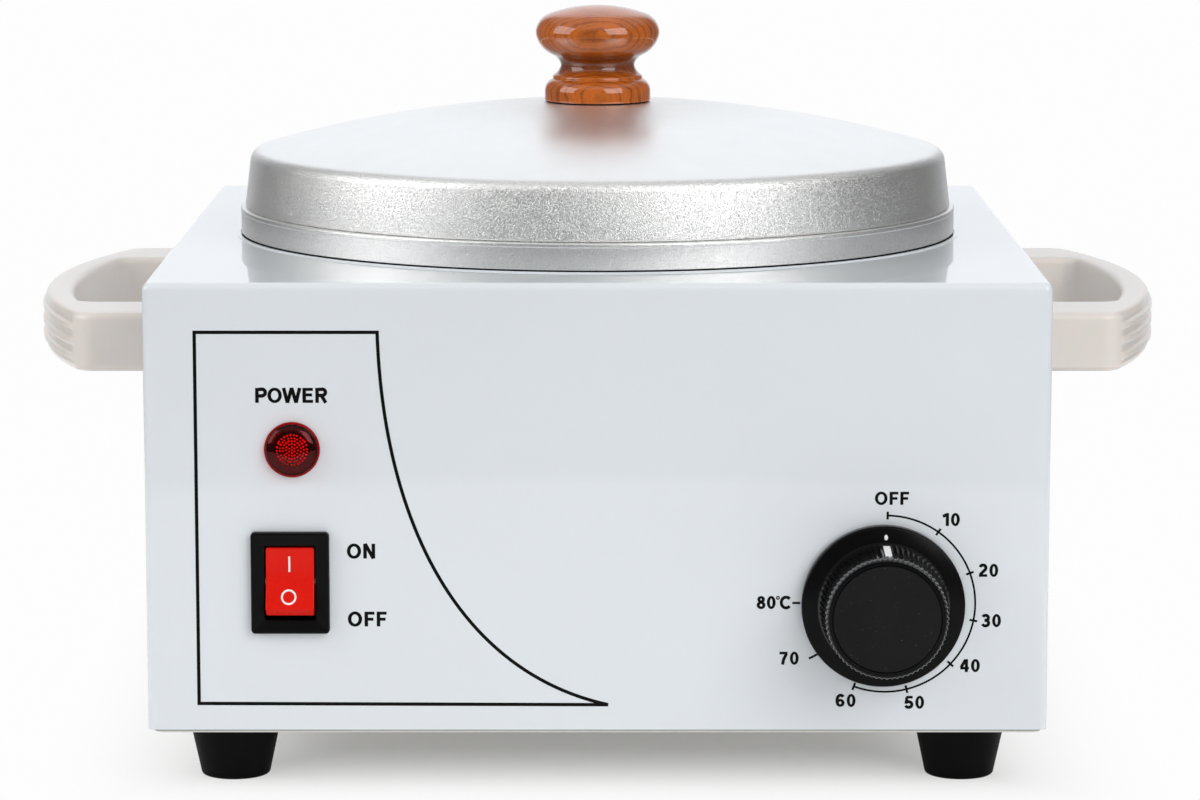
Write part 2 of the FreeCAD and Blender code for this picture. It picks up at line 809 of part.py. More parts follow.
def pilot_lamp_parts():
    rear = -pilot_body_length
    bore = pilot_body_radius - pilot_body_wall
    under = pilot_lens_height - pilot_lens_wall
    lens = turned([(0, under), (dome_middle(bore, 0, under), (bore, 0)),
                   (pilot_lens_radius, 0), (pilot_lens_radius, pilot_lens_flange),
                   (pilot_lens_dome_radius, pilot_lens_flange),
                   (dome_middle(pilot_lens_dome_radius, pilot_lens_flange, pilot_lens_height),
                    (0, pilot_lens_height))])
    body = disc(pilot_body_radius, rear, 0).cut(disc(bore, rear + 2 * pilot_body_wall, 0))
    neon = disc(neon_radius, rear + 2 * pilot_body_wall, rear + 2 * pilot_body_wall + neon_length)
    nut = ring(pilot_nut_radius, pilot_body_radius + thread_gap, -sheet - pilot_nut_thickness, -sheet)
    shapes = {"pilot_lamp_lens": lens, "pilot_lamp_body": body, "pilot_lamp_neon": neon,
              "pilot_lamp_nut": nut}
    return {name: on_front(shape, pilot_x, pilot_z) for name, shape in shapes.items()}


def rocker():
    """Rocker about its pivot: X along the pin, Y up, Z out of the panel, both halves level."""
    half = [(rocker_hub_rise, -rocker_hub_depth), (rocker_back_rise, -rocker_back_depth),
            (rocker_end_rise, rocker_end_proud), (rocker_tip_rise, rocker_tip_proud, rocker_tip_round)]
    other_half = [(-entry[0], *entry[1:]) for entry in reversed(half)]
    valley = (0, rocker_valley_proud, rocker_valley_round)
    half_width = rocker_opening_width / 2 - rocker_side_gap
    side = outline_face(half + [valley] + other_half, lambda up, out: Vector(-half_width, up, out))
    body = side.extrude(Vector(2 * half_width, 0, 0))
    pin = Part.makeCylinder(rocker_pin_radius + running_gap, 2 * half_width,
                            Vector(-half_width, 0, 0), Vector(1, 0, 0))
    return body.cut(pin)


def switch_parts():
    bezel = centred_box(bezel_width, bezel_height, 0, bezel_proud)
    bezel = bezel.makeChamfer(bezel_bevel, [edge for edge in bezel.Edges
                                            if edge.BoundBox.ZMin > bezel_proud / 2])
    body = bezel.fuse(centred_box(switch_body_width, switch_body_height, -switch_body_depth, 0))
    body = body.cut(centred_box(rocker_opening_width, rocker_opening_height,
                                bezel_proud - rocker_cavity_depth, bezel_proud))
    reach = rocker_opening_width / 2 + rocker_pin_grip
    pivot = Vector(-reach, 0, -rocker_pivot_depth)
    body = body.cut(Part.makeCylinder(rocker_pin_radius + thread_gap, 2 * reach, pivot, Vector(1, 0, 0)))
    pin = Part.makeCylinder(rocker_pin_radius, 2 * reach, pivot, Vector(1, 0, 0))
    tipped = turned_to(rocker(), Vector(1, 0, 0), -rocker_tilt, 0, 0, -rocker_pivot_depth)
    shapes = {"switch_housing": body.removeSplitter(), "switch_pivot_pin": pin, "switch_rocker": tipped}
    return {name: on_front(shape, switch_x, switch_z) for name, shape in shapes.items()}


def flute(angle):
    """Cutter for one groove along the tapered grip."""
    lean = Vector(grip_front_radius - grip_base_radius, 0, dial_knob_proud - grip_base_proud)
    start = Vector(grip_base_radius + flute_radius - flute_depth, 0, grip_base_proud)
    cutter = Part.makeCylinder(flute_radius, lean.Length + flute_radius, start, lean)
    cutter.rotate(Vector(0, 0, 0), Vector(0, 0, 1), angle)
    return cutter


def shaft_section(radius, flat, low, high):
    """Round bar with one flat, between two heights."""
    bar = disc(radius, low, high)
    return bar.cut(box((-radius, flat, low), (radius, 2 * radius, high)))


def dial_knob_parts():
    front = dial_knob_proud
    recess = front - dial_cap_thickness
    back_wall = recess - grip_wall
    body = turned([(0, dial_knob_gap), (skirt_radius, dial_knob_gap, skirt_edge / 2),
                   (skirt_radius, skirt_rim_proud, skirt_edge), (grip_base_radius, grip_base_proud),
                   (grip_front_radius, front, grip_chamfer),
                   (dial_cap_radius + dial_cap_gap, front), (dial_cap_radius + dial_cap_gap, recess),
                   (0, recess)])
    hollow = turned([(0, dial_knob_gap), (skirt_radius - skirt_wall, dial_knob_gap),
                     (skirt_radius - skirt_wall, skirt_rim_proud - skirt_wall / 2),
                     (grip_base_radius - grip_wall, grip_base_proud),
                     (grip_front_radius - grip_wall, back_wall), (0, back_wall)])
    body = body.cut(hollow)
    step = 360 / flute_count
    body = body.cut([flute(step * i) for i in range(flute_count)])
    boss = disc(dial_boss_radius, dial_boss_proud, back_wall)
    body = body.fuse(boss)
    body = body.cut(shaft_section(shaft_radius + running_gap, shaft_flat + running_gap,
                                  dial_boss_proud, shaft_proud + running_gap))
    pointer_high = front - grip_chamfer
    lean = grip_base_radius - grip_front_radius
    taper = lean / (pointer_high - grip_base_proud)
    base = grip_base_radius + pointer_proud
    tip = base - taper * (pointer_high - grip_base_proud)
    side = [Vector(-pointer_width / 2, base, grip_base_proud + pointer_depth),
            Vector(-pointer_width / 2, tip, pointer_high),
            Vector(-pointer_width / 2, tip - pointer_depth, pointer_high),
            Vector(-pointer_width / 2, base - pointer_depth, grip_base_proud + pointer_depth)]
    pointer = Part.Face(Part.makePolygon(side + side[:1])).extrude(Vector(pointer_width, 0, 0))
    body = body.cut(pointer)
    dot_y = (skirt_radius + grip_base_radius) / 2
    slope = (grip_base_proud - skirt_rim_proud) / (skirt_radius - grip_base_radius)
    dot_top = grip_base_proud - slope * (dot_y - grip_base_radius) + pointer_proud
    dot = moved(disc(dot_radius, dot_top - dot_depth, dot_top), 0, dot_y, 0)
    body = body.cut(dot)
    cap = disc(dial_cap_radius, recess, front)
    shaft = shaft_section(shaft_radius, shaft_flat, -sheet - shaft_engagement, shaft_proud)
    shapes = {"control_knob": body.removeSplitter(), "control_knob_cap": cap,
              "control_knob_pointer": group([pointer, dot]), "thermostat_shaft": shaft}
    return {name: on_front(shape, dial_x, dial_z) for name, shape in shapes.items()}


def thermostat_parts():
    front = -sheet
    back = front - thermostat_depth
    body = centred_box(thermostat_width, thermostat_height, back, front)
    body = body.cut(disc(shaft_radius + running_gap, front - shaft_engagement - running_gap, front))
    screws = []
    for side in (-1, 1):
        x = side * thermostat_screw_spread / 2
        hole = disc(m4_radius + thread_gap, front - thermostat_screw_length, front)
        body = body.cut(moved(hole, x, 0, 0))
        screws.append(moved(m4_screw(thermostat_screw_length), x, 0, 0))
    shapes = {"thermostat_body": body, "thermostat_screws": group(screws)}
    return {name: on_front(shape, dial_x, dial_z) for name, shape in shapes.items()}


def terminal_tabs():
    """Push-on tabs of the pilot lamp, the switch and the thermostat."""
    tabs = []
    for side in (-1, 1):
        rear = moved(tab(tab_length), side * pilot_tab_pitch / 2, 0, -pilot_body_length - tab_length)
        tabs.append(on_front(rear, pilot_x, pilot_z))
        for level in (-1, 1):
            rear = moved(tab(tab_length), side * switch_tab_pitch_x / 2, level * switch_tab_pitch_z / 2,
                         -switch_body_depth - tab_length)
            tabs.append(on_front(rear, switch_x, switch_z))
    left = turned_to(tab(tab_length), Vector(0, 1, 0), -90,
                     -thermostat_width / 2, -thermostat_tab_rise, -sheet - thermostat_depth / 2)
    rear = moved(tab(tab_length), thermostat_screw_spread / 2, thermostat_tab_rise,
                 -sheet - thermostat_depth - tab_length)
    tabs += [on_front(left, dial_x, dial_z), on_front(rear, dial_x, dial_z)]
    return {"terminal_tabs": group(tabs)}


def sensor_parts():
    """Sensor bulb that lies against the well's floor, with its clip and capillary."""
    low = bulb_offset_x - bulb_length / 2
    high = bulb_offset_x + bulb_length / 2
    bulb = Part.makeCylinder(bulb_radius, bulb_length, Vector(low, -bulb_offset_y, bulb_z), Vector(1, 0, 0))
    bore = bulb_radius + seat_gap
    hull = bore + clip_wall
    start = bulb_offset_x - clip_length / 2
    end = bulb_offset_x + clip_length / 2
    saddle = Part.makeCylinder(hull, clip_length, Vector(start, -bulb_offset_y, bulb_z), Vector(1, 0, 0))
    saddle = saddle.fuse(box((start, -bulb_offset_y - hull, bulb_z),
                             (end, -bulb_offset_y + hull, well_bottom)))
    saddle = saddle.common(box((start, -bulb_offset_y - hull, bulb_z - hull),
                               (end, -bulb_offset_y + hull, well_bottom)))
    saddle = saddle.fuse(box((start, -bulb_offset_y - hull - clip_foot, well_bottom - clip_wall),
                             (end, -bulb_offset_y + hull + clip_foot, well_bottom)))
    channel = Part.makeCylinder(bore, clip_length, Vector(start, -bulb_offset_y, bulb_z), Vector(1, 0, 0))
    channel = channel.fuse(box((start, -bulb_offset_y - bore, bulb_z),
                               (end, -bulb_offset_y + bore, well_bottom)))
    body_back = front_face + sheet + thermostat_depth
    outlet_x = dial_x - thermostat_width / 2 + capillary_inset
    outlet_z = dial_z - capillary_drop
    route = walked((outlet_x, body_back, outlet_z), (0, 1.5, 0), (0.9, 1.4, 0.25), (0.6, 1.5, 0.75))
    route += reversed(walked((high, -bulb_offset_y, bulb_z), (1.2, 0, 0), (1.1, -0.25, -0.12)))
    return {"sensor_bulb": bulb, "sensor_clip": saddle.cut(channel).removeSplitter(),
            "capillary_tube": swept(route, capillary_radius)}


def cutout_parts():
    """Thermal cut-out held against the well's floor by a bracket."""
    disc_low = well_bottom - cutout_height
    unit = moved(disc(cutout_radius, disc_low, well_bottom), cutout_x, cutout_y, 0)
    reach = cutout_radius + seat_gap + bracket_thickness
    half = bracket_width / 2
    outside = box((cutout_x - reach, cutout_y - half, disc_low - bracket_thickness),
                  (cutout_x + reach, cutout_y + half, well_bottom))
    inside = box((cutout_x - reach + bracket_thickness, cutout_y - half, disc_low),
                 (cutout_x + reach - bracket_thickness, cutout_y + half, well_bottom))
    feet = box((cutout_x - reach - bracket_foot, cutout_y - half, well_bottom - bracket_thickness),
               (cutout_x + reach + bracket_foot, cutout_y + half, well_bottom))
    bracket = outside.fuse(feet).cut(inside).removeSplitter()
    return {"thermal_cutout": unit, "cutout_bracket": bracket}


def block_port_x(way):
    """X of one way of the terminal block; 0 is the leftmost."""
    return block_x + (way - (block_ways - 1) / 2) * block_width / block_ways


def terminal_parts():
    """Terminal block, its screws, and the earth stud with its nut and tag."""
    block = box((block_x - block_width / 2, block_y - block_depth / 2, base_top),
                (block_x + block_width / 2, block_y + block_depth / 2, base_top + block_height))
    screws = []
    top = base_top + block_height
    for way in range(block_ways):
        x = block_port_x(way)
        port = Part.makeCylinder(block_port_radius, block_port_depth,
                                 Vector(x, block_y + block_depth / 2, base_top + block_port_rise),
                                 Vector(0, -1, 0))
        head = moved(disc(block_screw_radius, top - block_screw_height, top), x, block_y, 0)
        block = block.cut([port, head])
        screws.append(head)
    tag_top = base_top + tag_thickness
    stud = moved(disc(m4_radius, base_top, base_top + earth_stud_height), earth_x, earth_y, 0)
    tag = moved(ring(tag_radius, m4_radius + thread_gap, base_top, tag_top), earth_x, earth_y, 0)
    barrel_end = earth_x - tag_radius - tag_barrel_length
    barrel = Part.makeCylinder(tag_barrel_radius, tag_barrel_length + tag_neck,
                               Vector(barrel_end, earth_y, base_top + tag_barrel_radius), Vector(1, 0, 0))
    return {"terminal_block": block, "terminal_screws": group(screws), "earth_stud": stud,
            "earth_tag": tag.fuse(barrel)}


def gland_parts():
    thread_end = gland_flange_thickness + gland_front_thread
    seal_end = thread_end + gland_seal_thickness
    body = disc(gland_thread_radius, -gland_stem, thread_end)
    body = body.fuse(hexagon(gland_flange_radius, gland_bore, 0, gland_flange_thickness))
    body = body.cut(disc(gland_bore, -gland_stem, thread_end)).removeSplitter()
    cap = hexagon(gland_cap_radius, gland_bore, gland_flange_thickness, gland_reach)
    cone = turned([(0, gland_flange_thickness), (2 * gland_cap_radius, gland_flange_thickness),
                   (gland_cap_radius, gland_reach - gland_cap_edge),
                   (gland_cap_radius - 2 * gland_cap_edge, gland_reach), (0, gland_reach)])
    cap = cap.common(cone).cut(disc(gland_thread_radius + thread_gap, gland_flange_thickness, seal_end))
    seal = ring(gland_thread_radius, gland_bore, thread_end, seal_end)
    nut = hexagon(gland_nut_radius, gland_thread_radius + thread_gap, -sheet - gland_nut_thickness, -sheet)
    shapes = {"gland_body": body, "gland_cap": cap, "gland_seal": seal, "gland_locknut": nut}
    return {name: on_back(shape, gland_x, gland_z) for name, shape in shapes.items()}


def lead_parts():
    """Internal leads, each from one terminal face to another."""
    port_y = block_y - block_depth / 2
    port_z = base_top + block_port_rise
    switch_y = front_face + switch_body_depth + tab_length
    low_tab = switch_z - switch_tab_pitch_z / 2
    high_tab = switch_z + switch_tab_pitch_z / 2
    left_tab = switch_x - switch_tab_pitch_x / 2
    right_tab = switch_x + switch_tab_pitch_x / 2
    pilot_y = front_face + pilot_body_length + tab_length
    thermostat_left = dial_x - thermostat_width / 2 - tab_length
    thermostat_y = front_face + sheet + thermostat_depth / 2
    thermostat_low = dial_z - thermostat_tab_rise
    thermostat_rear = front_face + sheet + thermostat_depth + tab_length
    rear_tab_x = dial_x + thermostat_screw_spread / 2
    rear_tab_z = dial_z + thermostat_tab_rise
    block_side = heater_block_offset + heater_block_width
    block_y_end = heater_outer + heater_block_reach / 2
    tag_end = earth_x - tag_radius - tag_barrel_length
    tag_z = base_top + tag_barrel_radius
    live = walked((block_port_x(1), port_y, port_z), (0, -2.2, 0), (-1.8, -2.5, 0), (-3.4, -3.0, 0.1),
                  (-4.6, -4.1, 0.1), (-3.5, -3.9, 0.5), (-2.7, -3.0, 1.3))
    live += reversed(walked((left_tab, switch_y, low_tab), (0, 2.2, 0)))
    switched = walked((right_tab, switch_y, low_tab), (0, 1.9, 0), (2.1, 1.0, -0.3), (3.0, -1.4, -0.2),
                      (3.2, -2.2, -0.1))
    switched += reversed(walked((thermostat_left, thermostat_y, thermostat_low), (-4.0, 0, 0)))
    heater = walked((rear_tab_x, thermostat_rear, rear_tab_z), (0, 1.5, 0))
    climb = heater_middle - rear_tab_z
    heater += [round_well(angle, rear_tab_z + share * climb) for angle, share in
               ((-32, 0.1), (-18, 0.25), (-2, 0.45), (14, 0.65), (30, 0.8), (46, 0.9), (59, 0.97))]
    heater += reversed(walked((block_side, block_y_end, heater_middle), (2.0, 0, 0)))
    neutral = walked((block_port_x(0), port_y, port_z), (0, -1.4, 0), (-1.9, -1.1, 0.1), (-2.9, -0.2, 0.4),
                     (-3.0, 0.9, 0.8), (-3.0, 1.9, 1.2), (-2.0, 1.9, 2.0))
    neutral += reversed(walked((-block_side, block_y_end, heater_middle), (-1.2, 0, 0), (-1.3, 0.1, -0.4),
                               (-2.0, 0.4, -1.4)))
    earth = walked((block_port_x(2), port_y, port_z), (0, -1.0, 0), (-0.1, -1.0, -0.2))
    earth += reversed(walked((tag_end, earth_y, tag_z), (-1.0, 0, 0), (-0.7, 0.6, 0.1)))
    pilot = []
    for lamp_x, switch_tab in ((pilot_x - pilot_tab_pitch / 2, left_tab),
                               (pilot_x + pilot_tab_pitch / 2, right_tab)):
        route = walked((lamp_x, pilot_y, pilot_z), (0, 1.0, 0), (0, 0.7, -1.0))
        route += reversed(walked((switch_tab, switch_y, high_tab), (0, 1.2, 0), (0, 0.8, 1.2)))
        pilot.append(route)
    return {"live_lead": lead(live), "switched_lead": lead(switched), "heater_lead": lead(heater),
            "neutral_lead": lead(neutral), "earth_lead": lead(earth),
            "pilot_leads": group([lead(route) for route in pilot])}


nodes = {"outer_case": outer_case(), "base_plate": base_plate()}
base_screw = m3_screw(base_screw_length)
nodes["base_plate_screws"] = group([upside_down(base_screw, x, y, base_bottom)
                                    for x, y in base_screw_places])
for place, (a, b) in foot_places.items():
    nodes["foot_" + place] = moved(foot(), a * foot_x, b * foot_y, 0)
nodes["handle_right"] = right_handle()
nodes["handle_left"] = mirrored(nodes["handle_right"])
nodes["heater_well"] = heater_well()
nodes["wax_pot"] = wax_pot()
for build in (case_hardware, well_hardware, heater_parts, pilot_lamp_parts, switch_parts,
              thermostat_parts, terminal_tabs, dial_knob_parts, sensor_parts, cutout_parts,
              terminal_parts, gland_parts, lead_parts, lid_parts):
    nodes.update(build())

for name, shape in nodes.items():
    moved(shape, 0, origin_shift, 0).exportStep("parts/" + name + ".step")
print(len(nodes), "nodes")
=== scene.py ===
import json
import math
import random

import bmesh
import bpy
from bpy.props import FloatProperty, FloatVectorProperty, IntProperty, PointerProperty
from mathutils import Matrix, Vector


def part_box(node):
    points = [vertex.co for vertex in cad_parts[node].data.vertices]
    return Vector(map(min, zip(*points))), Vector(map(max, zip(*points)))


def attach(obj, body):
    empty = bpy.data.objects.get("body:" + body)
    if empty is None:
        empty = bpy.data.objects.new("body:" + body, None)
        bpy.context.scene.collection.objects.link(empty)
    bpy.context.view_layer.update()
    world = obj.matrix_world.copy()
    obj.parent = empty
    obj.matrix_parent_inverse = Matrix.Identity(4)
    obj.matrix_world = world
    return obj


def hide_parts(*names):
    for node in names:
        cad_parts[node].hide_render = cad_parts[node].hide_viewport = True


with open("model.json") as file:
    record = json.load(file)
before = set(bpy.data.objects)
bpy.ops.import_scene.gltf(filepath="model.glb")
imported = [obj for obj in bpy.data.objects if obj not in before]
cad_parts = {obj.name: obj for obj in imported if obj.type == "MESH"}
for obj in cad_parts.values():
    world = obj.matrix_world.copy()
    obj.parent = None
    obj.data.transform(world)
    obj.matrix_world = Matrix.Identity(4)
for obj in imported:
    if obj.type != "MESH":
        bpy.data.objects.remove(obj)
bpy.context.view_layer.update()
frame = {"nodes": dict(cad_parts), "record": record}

bl_info = {
    "name": "Single-pot wax warmer",
    "version": (1, 0, 0),
    "blender": (4, 5, 0),
    "location": "3D View > Sidebar > Wax Warmer",
    "description": "Builds the pieces, the finishes and the stage of a single-pot wax warmer",
    "category": "Object",
}

mm = 0.001
seed = 7

# Places of the frame that the pieces are built on
case_low, case_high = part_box("outer_case")
pot_low, pot_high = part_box("wax_pot")
lid_low, lid_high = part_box("lid")
wood_low, wood_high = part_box("lid_knob")
handle_low, handle_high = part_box("handle_right")
middle_y = (case_low.y + case_high.y) / 2


def middle(node):
    """Centre of a node's box."""
    low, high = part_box(node)
    return (low + high) / 2


# ---------------------------------------------------------------- places and outlines

def upright(u, v, w):
    """Place beside the pot's axis: u to the right, v to the back, w up."""
    return Vector((u, middle_y + v, w))


def on_front(node):
    """Place on the front panel, about a node's middle: u to the right, v up, w out."""
    centre = middle(node)
    return lambda u, v, w: Vector((centre.x + u, case_low.y - w, centre.z + v))


def round_fitting(node):
    """Radius of a round node on the front panel and how far it stands out."""
    low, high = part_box(node)
    return (high.x - low.x) / 2, case_low.y - low.y


def on_panel(u, v, w):
    """Place on the front panel: u from its middle, v from its bottom edge, w out."""
    return Vector((u, case_low.y - w, case_low.z + v))


def arc(centre, radii, start, end, steps=14):
    """Points along part of an ellipse, between two angles in degrees."""
    angles = [math.radians(start + (end - start) * i / steps) for i in range(steps + 1)]
    return [(centre[0] + radii[0] * math.cos(a), centre[1] + radii[1] * math.sin(a)) for a in angles]


def rounded(entries, steps=8):
    """Points along straight runs; an entry with a third number is a corner of that radius."""
    corners = [Vector(entry[:2]) for entry in entries]
    points = []
    for i, entry in enumerate(entries):
        here = corners[i]
        if len(entry) == 2:
            points.append(here)
            continue
        back = (corners[i - 1] - here).normalized()
        ahead = (corners[(i + 1) % len(corners)] - here).normalized()
        half = back.angle(ahead) / 2
        centre = here + (back + ahead).normalized() * entry[2] / math.sin(half)
        start = here + back * entry[2] / math.tan(half) - centre
        end = here + ahead * entry[2] / math.tan(half) - centre
        turn = math.pi - 2 * half
        for k in range(steps + 1):
            share = k / steps
            points.append(centre + (start * math.sin((1 - share) * turn) + end * math.sin(share * turn))
                          / math.sin(turn))
    return points


def bowed(start, end, bow, steps=10):
    """Points after start along an arc, of which the middle stands to the left of its way by bow."""
    chord = end - start
    half = chord.length / 2
    along, left = chord.normalized(), Vector((-chord.y, chord.x)).normalized()
    radius = (half ** 2 + bow ** 2) / (2 * abs(bow))
    points = []
    for k in range(1, steps + 1):
        way = half * (2 * k / steps - 1)
        rise = math.sqrt(radius ** 2 - way ** 2) - radius + abs(bow)
        points.append((start + end) / 2 + along * way + left * math.copysign(rise, bow))
    return points


def bezier(start, out, into, end, steps=48):
    """Points of one cubic Bezier span."""
    line = []
    for k in range(steps + 1):
        t = k / steps
        weights = ((1 - t) ** 3, 3 * t * (1 - t) ** 2, 3 * t * t * (1 - t), t ** 3)
        line.append(tuple(sum(w * p[axis] for w, p in zip(weights, (start, out, into, end)))
                          for axis in (0, 1)))
    return line


def dome(radius, low, high, steps=24):
    """Points of a spherical dome, from its edge to the axis."""
    rise = high - low
    sphere = (radius ** 2 + rise ** 2) / (2 * rise)
    line = [(radius * (1 - k / steps), 0) for k in range(steps + 1)]
    return [(r, high - sphere + math.sqrt(sphere ** 2 - r ** 2)) for r, _ in line]


def rounded_rectangle(width, height, radius, steps=6):
    """Loop round a rectangle, the same number of points whatever its corners are."""
    loop = []
    for quarter, (x, y) in enumerate(((1, 1), (-1, 1), (-1, -1), (1, -1))):
        centre = (x * (width / 2 - radius), y * (height / 2 - radius))
        loop += arc(centre, (radius, radius), 90 * quarter, 90 * quarter + 90, steps)
    return loop


# ---------------------------------------------------------------- meshes

def skin(loops, ring=True, wrap=False):
    """Points and faces over a row of loops with as many points each. A ring closes each loop on
    itself, and wrap joins the last loop to the first; otherwise both ends are filled."""
    count = len(loops[0])
    points = [point for loop in loops for point in loop]
    faces = []
    for row in range(len(loops) if wrap else len(loops) - 1):
        low = row * count
        high = (row + 1) % len(loops) * count
        for column in range(count if ring else count - 1):
            beside = (column + 1) % count
            faces.append((low + column, low + beside, high + beside, high + column))
    if ring and not wrap:
        faces += [tuple(reversed(range(count))), tuple(range(len(points) - count, len(points)))]
    return points, faces


def turned(profile, place, steps=256, wrap=False):
    """Shell of a profile of (radius, height) turned about its axis. A wrapped profile is the
    closed section of a wall."""
    angles = [2 * math.pi * i / steps for i in range(steps)]
    return skin([[place(radius * math.cos(a), radius * math.sin(a), height) for a in angles]
                 for radius, height in profile], wrap=wrap)


def stroke(points, width, place, thickness, closed=False):
    """Bar of flat section along a line of (u, v), with mitred corners, lying on a face."""
    line = [Vector(point) for point in points]
    count = len(line)
    loops = []
    for i, here in enumerate(line):
        back = line[i - 1] if i or closed else here
        ahead = line[(i + 1) % count] if i < count - 1 or closed else here
        ways = [way.normalized() for way in (here - back, ahead - here) if way.length > 0]
        along = sum(ways, Vector((0, 0))).normalized()
        across = Vector((-along.y, along.x)) * width / 2 / along.dot(ways[0])
        left, right = here + across, here - across
        loops.append([place(left.x, left.y, thickness), place(right.x, right.y, thickness),
                      place(right.x, right.y, 0), place(left.x, left.y, 0)])
    return skin(loops, wrap=closed)


def flat_ring(outer, inner, place, thickness):
    """Closed bar between two lines of (u, v) with as many points each, lying on a face."""
    levels = [(outer, thickness), (inner, thickness), (inner, 0), (outer, 0)]
    return skin([[place(u, v, out) for u, v in line] for line, out in levels], wrap=True)


def added(name, data):
    """Object in the scene."""
    made = bpy.data.objects.new(name, data)
    bpy.context.scene.collection.objects.link(made)
    return made


def piece(name, shells, body, slot, replaces=(), look=None, sharp=35):
    """Object made of shells, which rides on a body and may stand for nodes of the frame. Its finish
    is its slot's, unless it has a look of its own."""
    work = bmesh.new()
    for points, faces in shells:
        corners = [work.verts.new(point) for point in points]
        for face in faces:
            work.faces.new([corners[i] for i in face])
    bmesh.ops.remove_doubles(work, verts=work.verts, dist=0.0001 * mm)
    bmesh.ops.recalc_face_normals(work, faces=work.faces)
    mesh = bpy.data.meshes.new(name)
    work.to_mesh(mesh)
    work.free()
    mesh.polygons.foreach_set("use_smooth", [True] * len(mesh.polygons))
    mesh.set_sharp_from_angle(angle=math.radians(sharp))
    mesh.materials.append(look or slot_finishes(bpy.context.scene.wax_warmer)[slot])
    made = added(name, mesh)
    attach(made, body)
    if replaces:
        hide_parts(*replaces)
    return made


def even_normals(made):
    """Keeps flat faces flat beside rounded edges."""
    modifier = made.modifiers.new("even_normals", "WEIGHTED_NORMAL")
    modifier.keep_sharp = True


# ---------------------------------------------------------------- finishes

def math_operator(operation, reflected=False):
    """Operator of a Value that adds one Math node."""
    def method(self, other):
        return self.math(operation, *((other, self) if reflected else (self, other)))
    return method


class Value:
    """Number that changes over a surface. Arithmetic on it adds Math nodes."""

    def __init__(self, tree, socket):
        self.tree = tree
        self.socket = socket

    def math(self, operation, *numbers):
        return self.tree.value("ShaderNodeMath", {"operation": operation}, dict(enumerate(numbers)))

    __add__ = __radd__ = math_operator("ADD")
    __sub__ = math_operator("SUBTRACT")
    __rsub__ = math_operator("SUBTRACT", reflected=True)
    __mul__ = __rmul__ = math_operator("MULTIPLY")
    __truediv__ = math_operator("DIVIDE")
    __pow__ = math_operator("POWER")
    least = math_operator("MINIMUM")
    most = math_operator("MAXIMUM")

    def sine(self):
        return self.math("SINE", self)

    def step(self, low, high):
        """0 below low, 1 above high and smooth between them."""
        return self.tree.value("ShaderNodeMapRange", {"interpolation_type": "SMOOTHSTEP"},
                               {"Value": self, "From Min": low, "From Max": high})


class Tree:
    """Shader nodes, made and joined by one method."""

    def __init__(self, tree):
        self.tree = tree

    def node(self, kind, settings=None, inputs=None):
        """Node with its settings made first, then the values or links of its sockets."""
        made = self.tree.nodes.new(kind)
        for name, value in (settings or {}).items():
            if name == "stops":
                self.set_stops(made.color_ramp.elements, value)
            else:
                setattr(made, name, value)
        for name, value in (inputs or {}).items():
            if isinstance(name, str):
                name = next(i for i, s in enumerate(made.inputs) if s.enabled and s.name == name)
            self.feed(made.inputs[name], value)
        return made

    def feed(self, socket, value):
        """Sets a socket or links it."""
        if isinstance(value, Value):
            self.tree.links.new(value.socket, socket)
        elif isinstance(value, bpy.types.NodeSocket):
            self.tree.links.new(value, socket)
        elif socket.type == "RGBA":
            socket.default_value = (*value[:3], 1)
        else:
            socket.default_value = value

    @staticmethod
    def set_stops(elements, stops):
        for place, colour in stops[2:]:
            elements.new(place)
        for element, (place, colour) in zip(elements, stops):
            element.position = place
            element.color = (*colour, 1)

    def out(self, kind, settings=None, inputs=None, name=None):
        """Output socket of a new node: the named one, or the first that is in use."""
        made = self.node(kind, settings, inputs)
        return next(s for s in made.outputs if s.enabled and name in (None, s.name))

    def value(self, kind, settings=None, inputs=None, name=None):
        """The same output as a Value."""
        return Value(self, self.out(kind, settings, inputs, name))

    def position(self):
        """Place on the object, in metres, at rest."""
        return self.out("ShaderNodeTexCoord", name="Object")

    def rays(self, *kinds):
        """1 for each of these kinds of rays where the light path is one, otherwise 0."""
        path = self.node("ShaderNodeLightPath")
        return [Value(self, path.outputs[f"Is {kind} Ray"]) for kind in kinds]

    def parts(self, vector):
        """X, Y and Z of a vector."""
        made = self.node("ShaderNodeSeparateXYZ", None, {"Vector": vector})
        return [Value(self, socket) for socket in made.outputs]

    def scaled(self, x, y, z):
        """Position with each axis scaled by itself."""
        return self.out("ShaderNodeVectorMath", {"operation": "MULTIPLY"}, {0: self.position(), 1: (x, y, z)})

    def noise(self, size, detail=2, at=None, **more):
        """Noise from 0 to 1, with features of about this size in mm."""
        inputs = {"Vector": at or self.position(), "Scale": 1 / (size * mm), "Detail": detail, **more}
        return self.value("ShaderNodeTexNoise", None, inputs, "Fac")

    def mix(self, first, second, share):
        return self.out("ShaderNodeMix", {"data_type": "RGBA"}, {"Factor": share, "A": first, "B": second})

    def tint(self, colour, low, high, share):
        """Colour between two shades of itself."""
        return self.mix(shade(colour, low), shade(colour, high), share)

    def ramp(self, share, *stops):
        return self.out("ShaderNodeValToRGB", {"stops": stops}, {"Fac": share}, "Color")

    def beside_axis(self, across, along, centre):
        """Distance from an axis: two parts of the position, and where the axis is in them."""
        across, along = across - centre[0], along - centre[1]
        return (across * across + along * along) ** 0.5


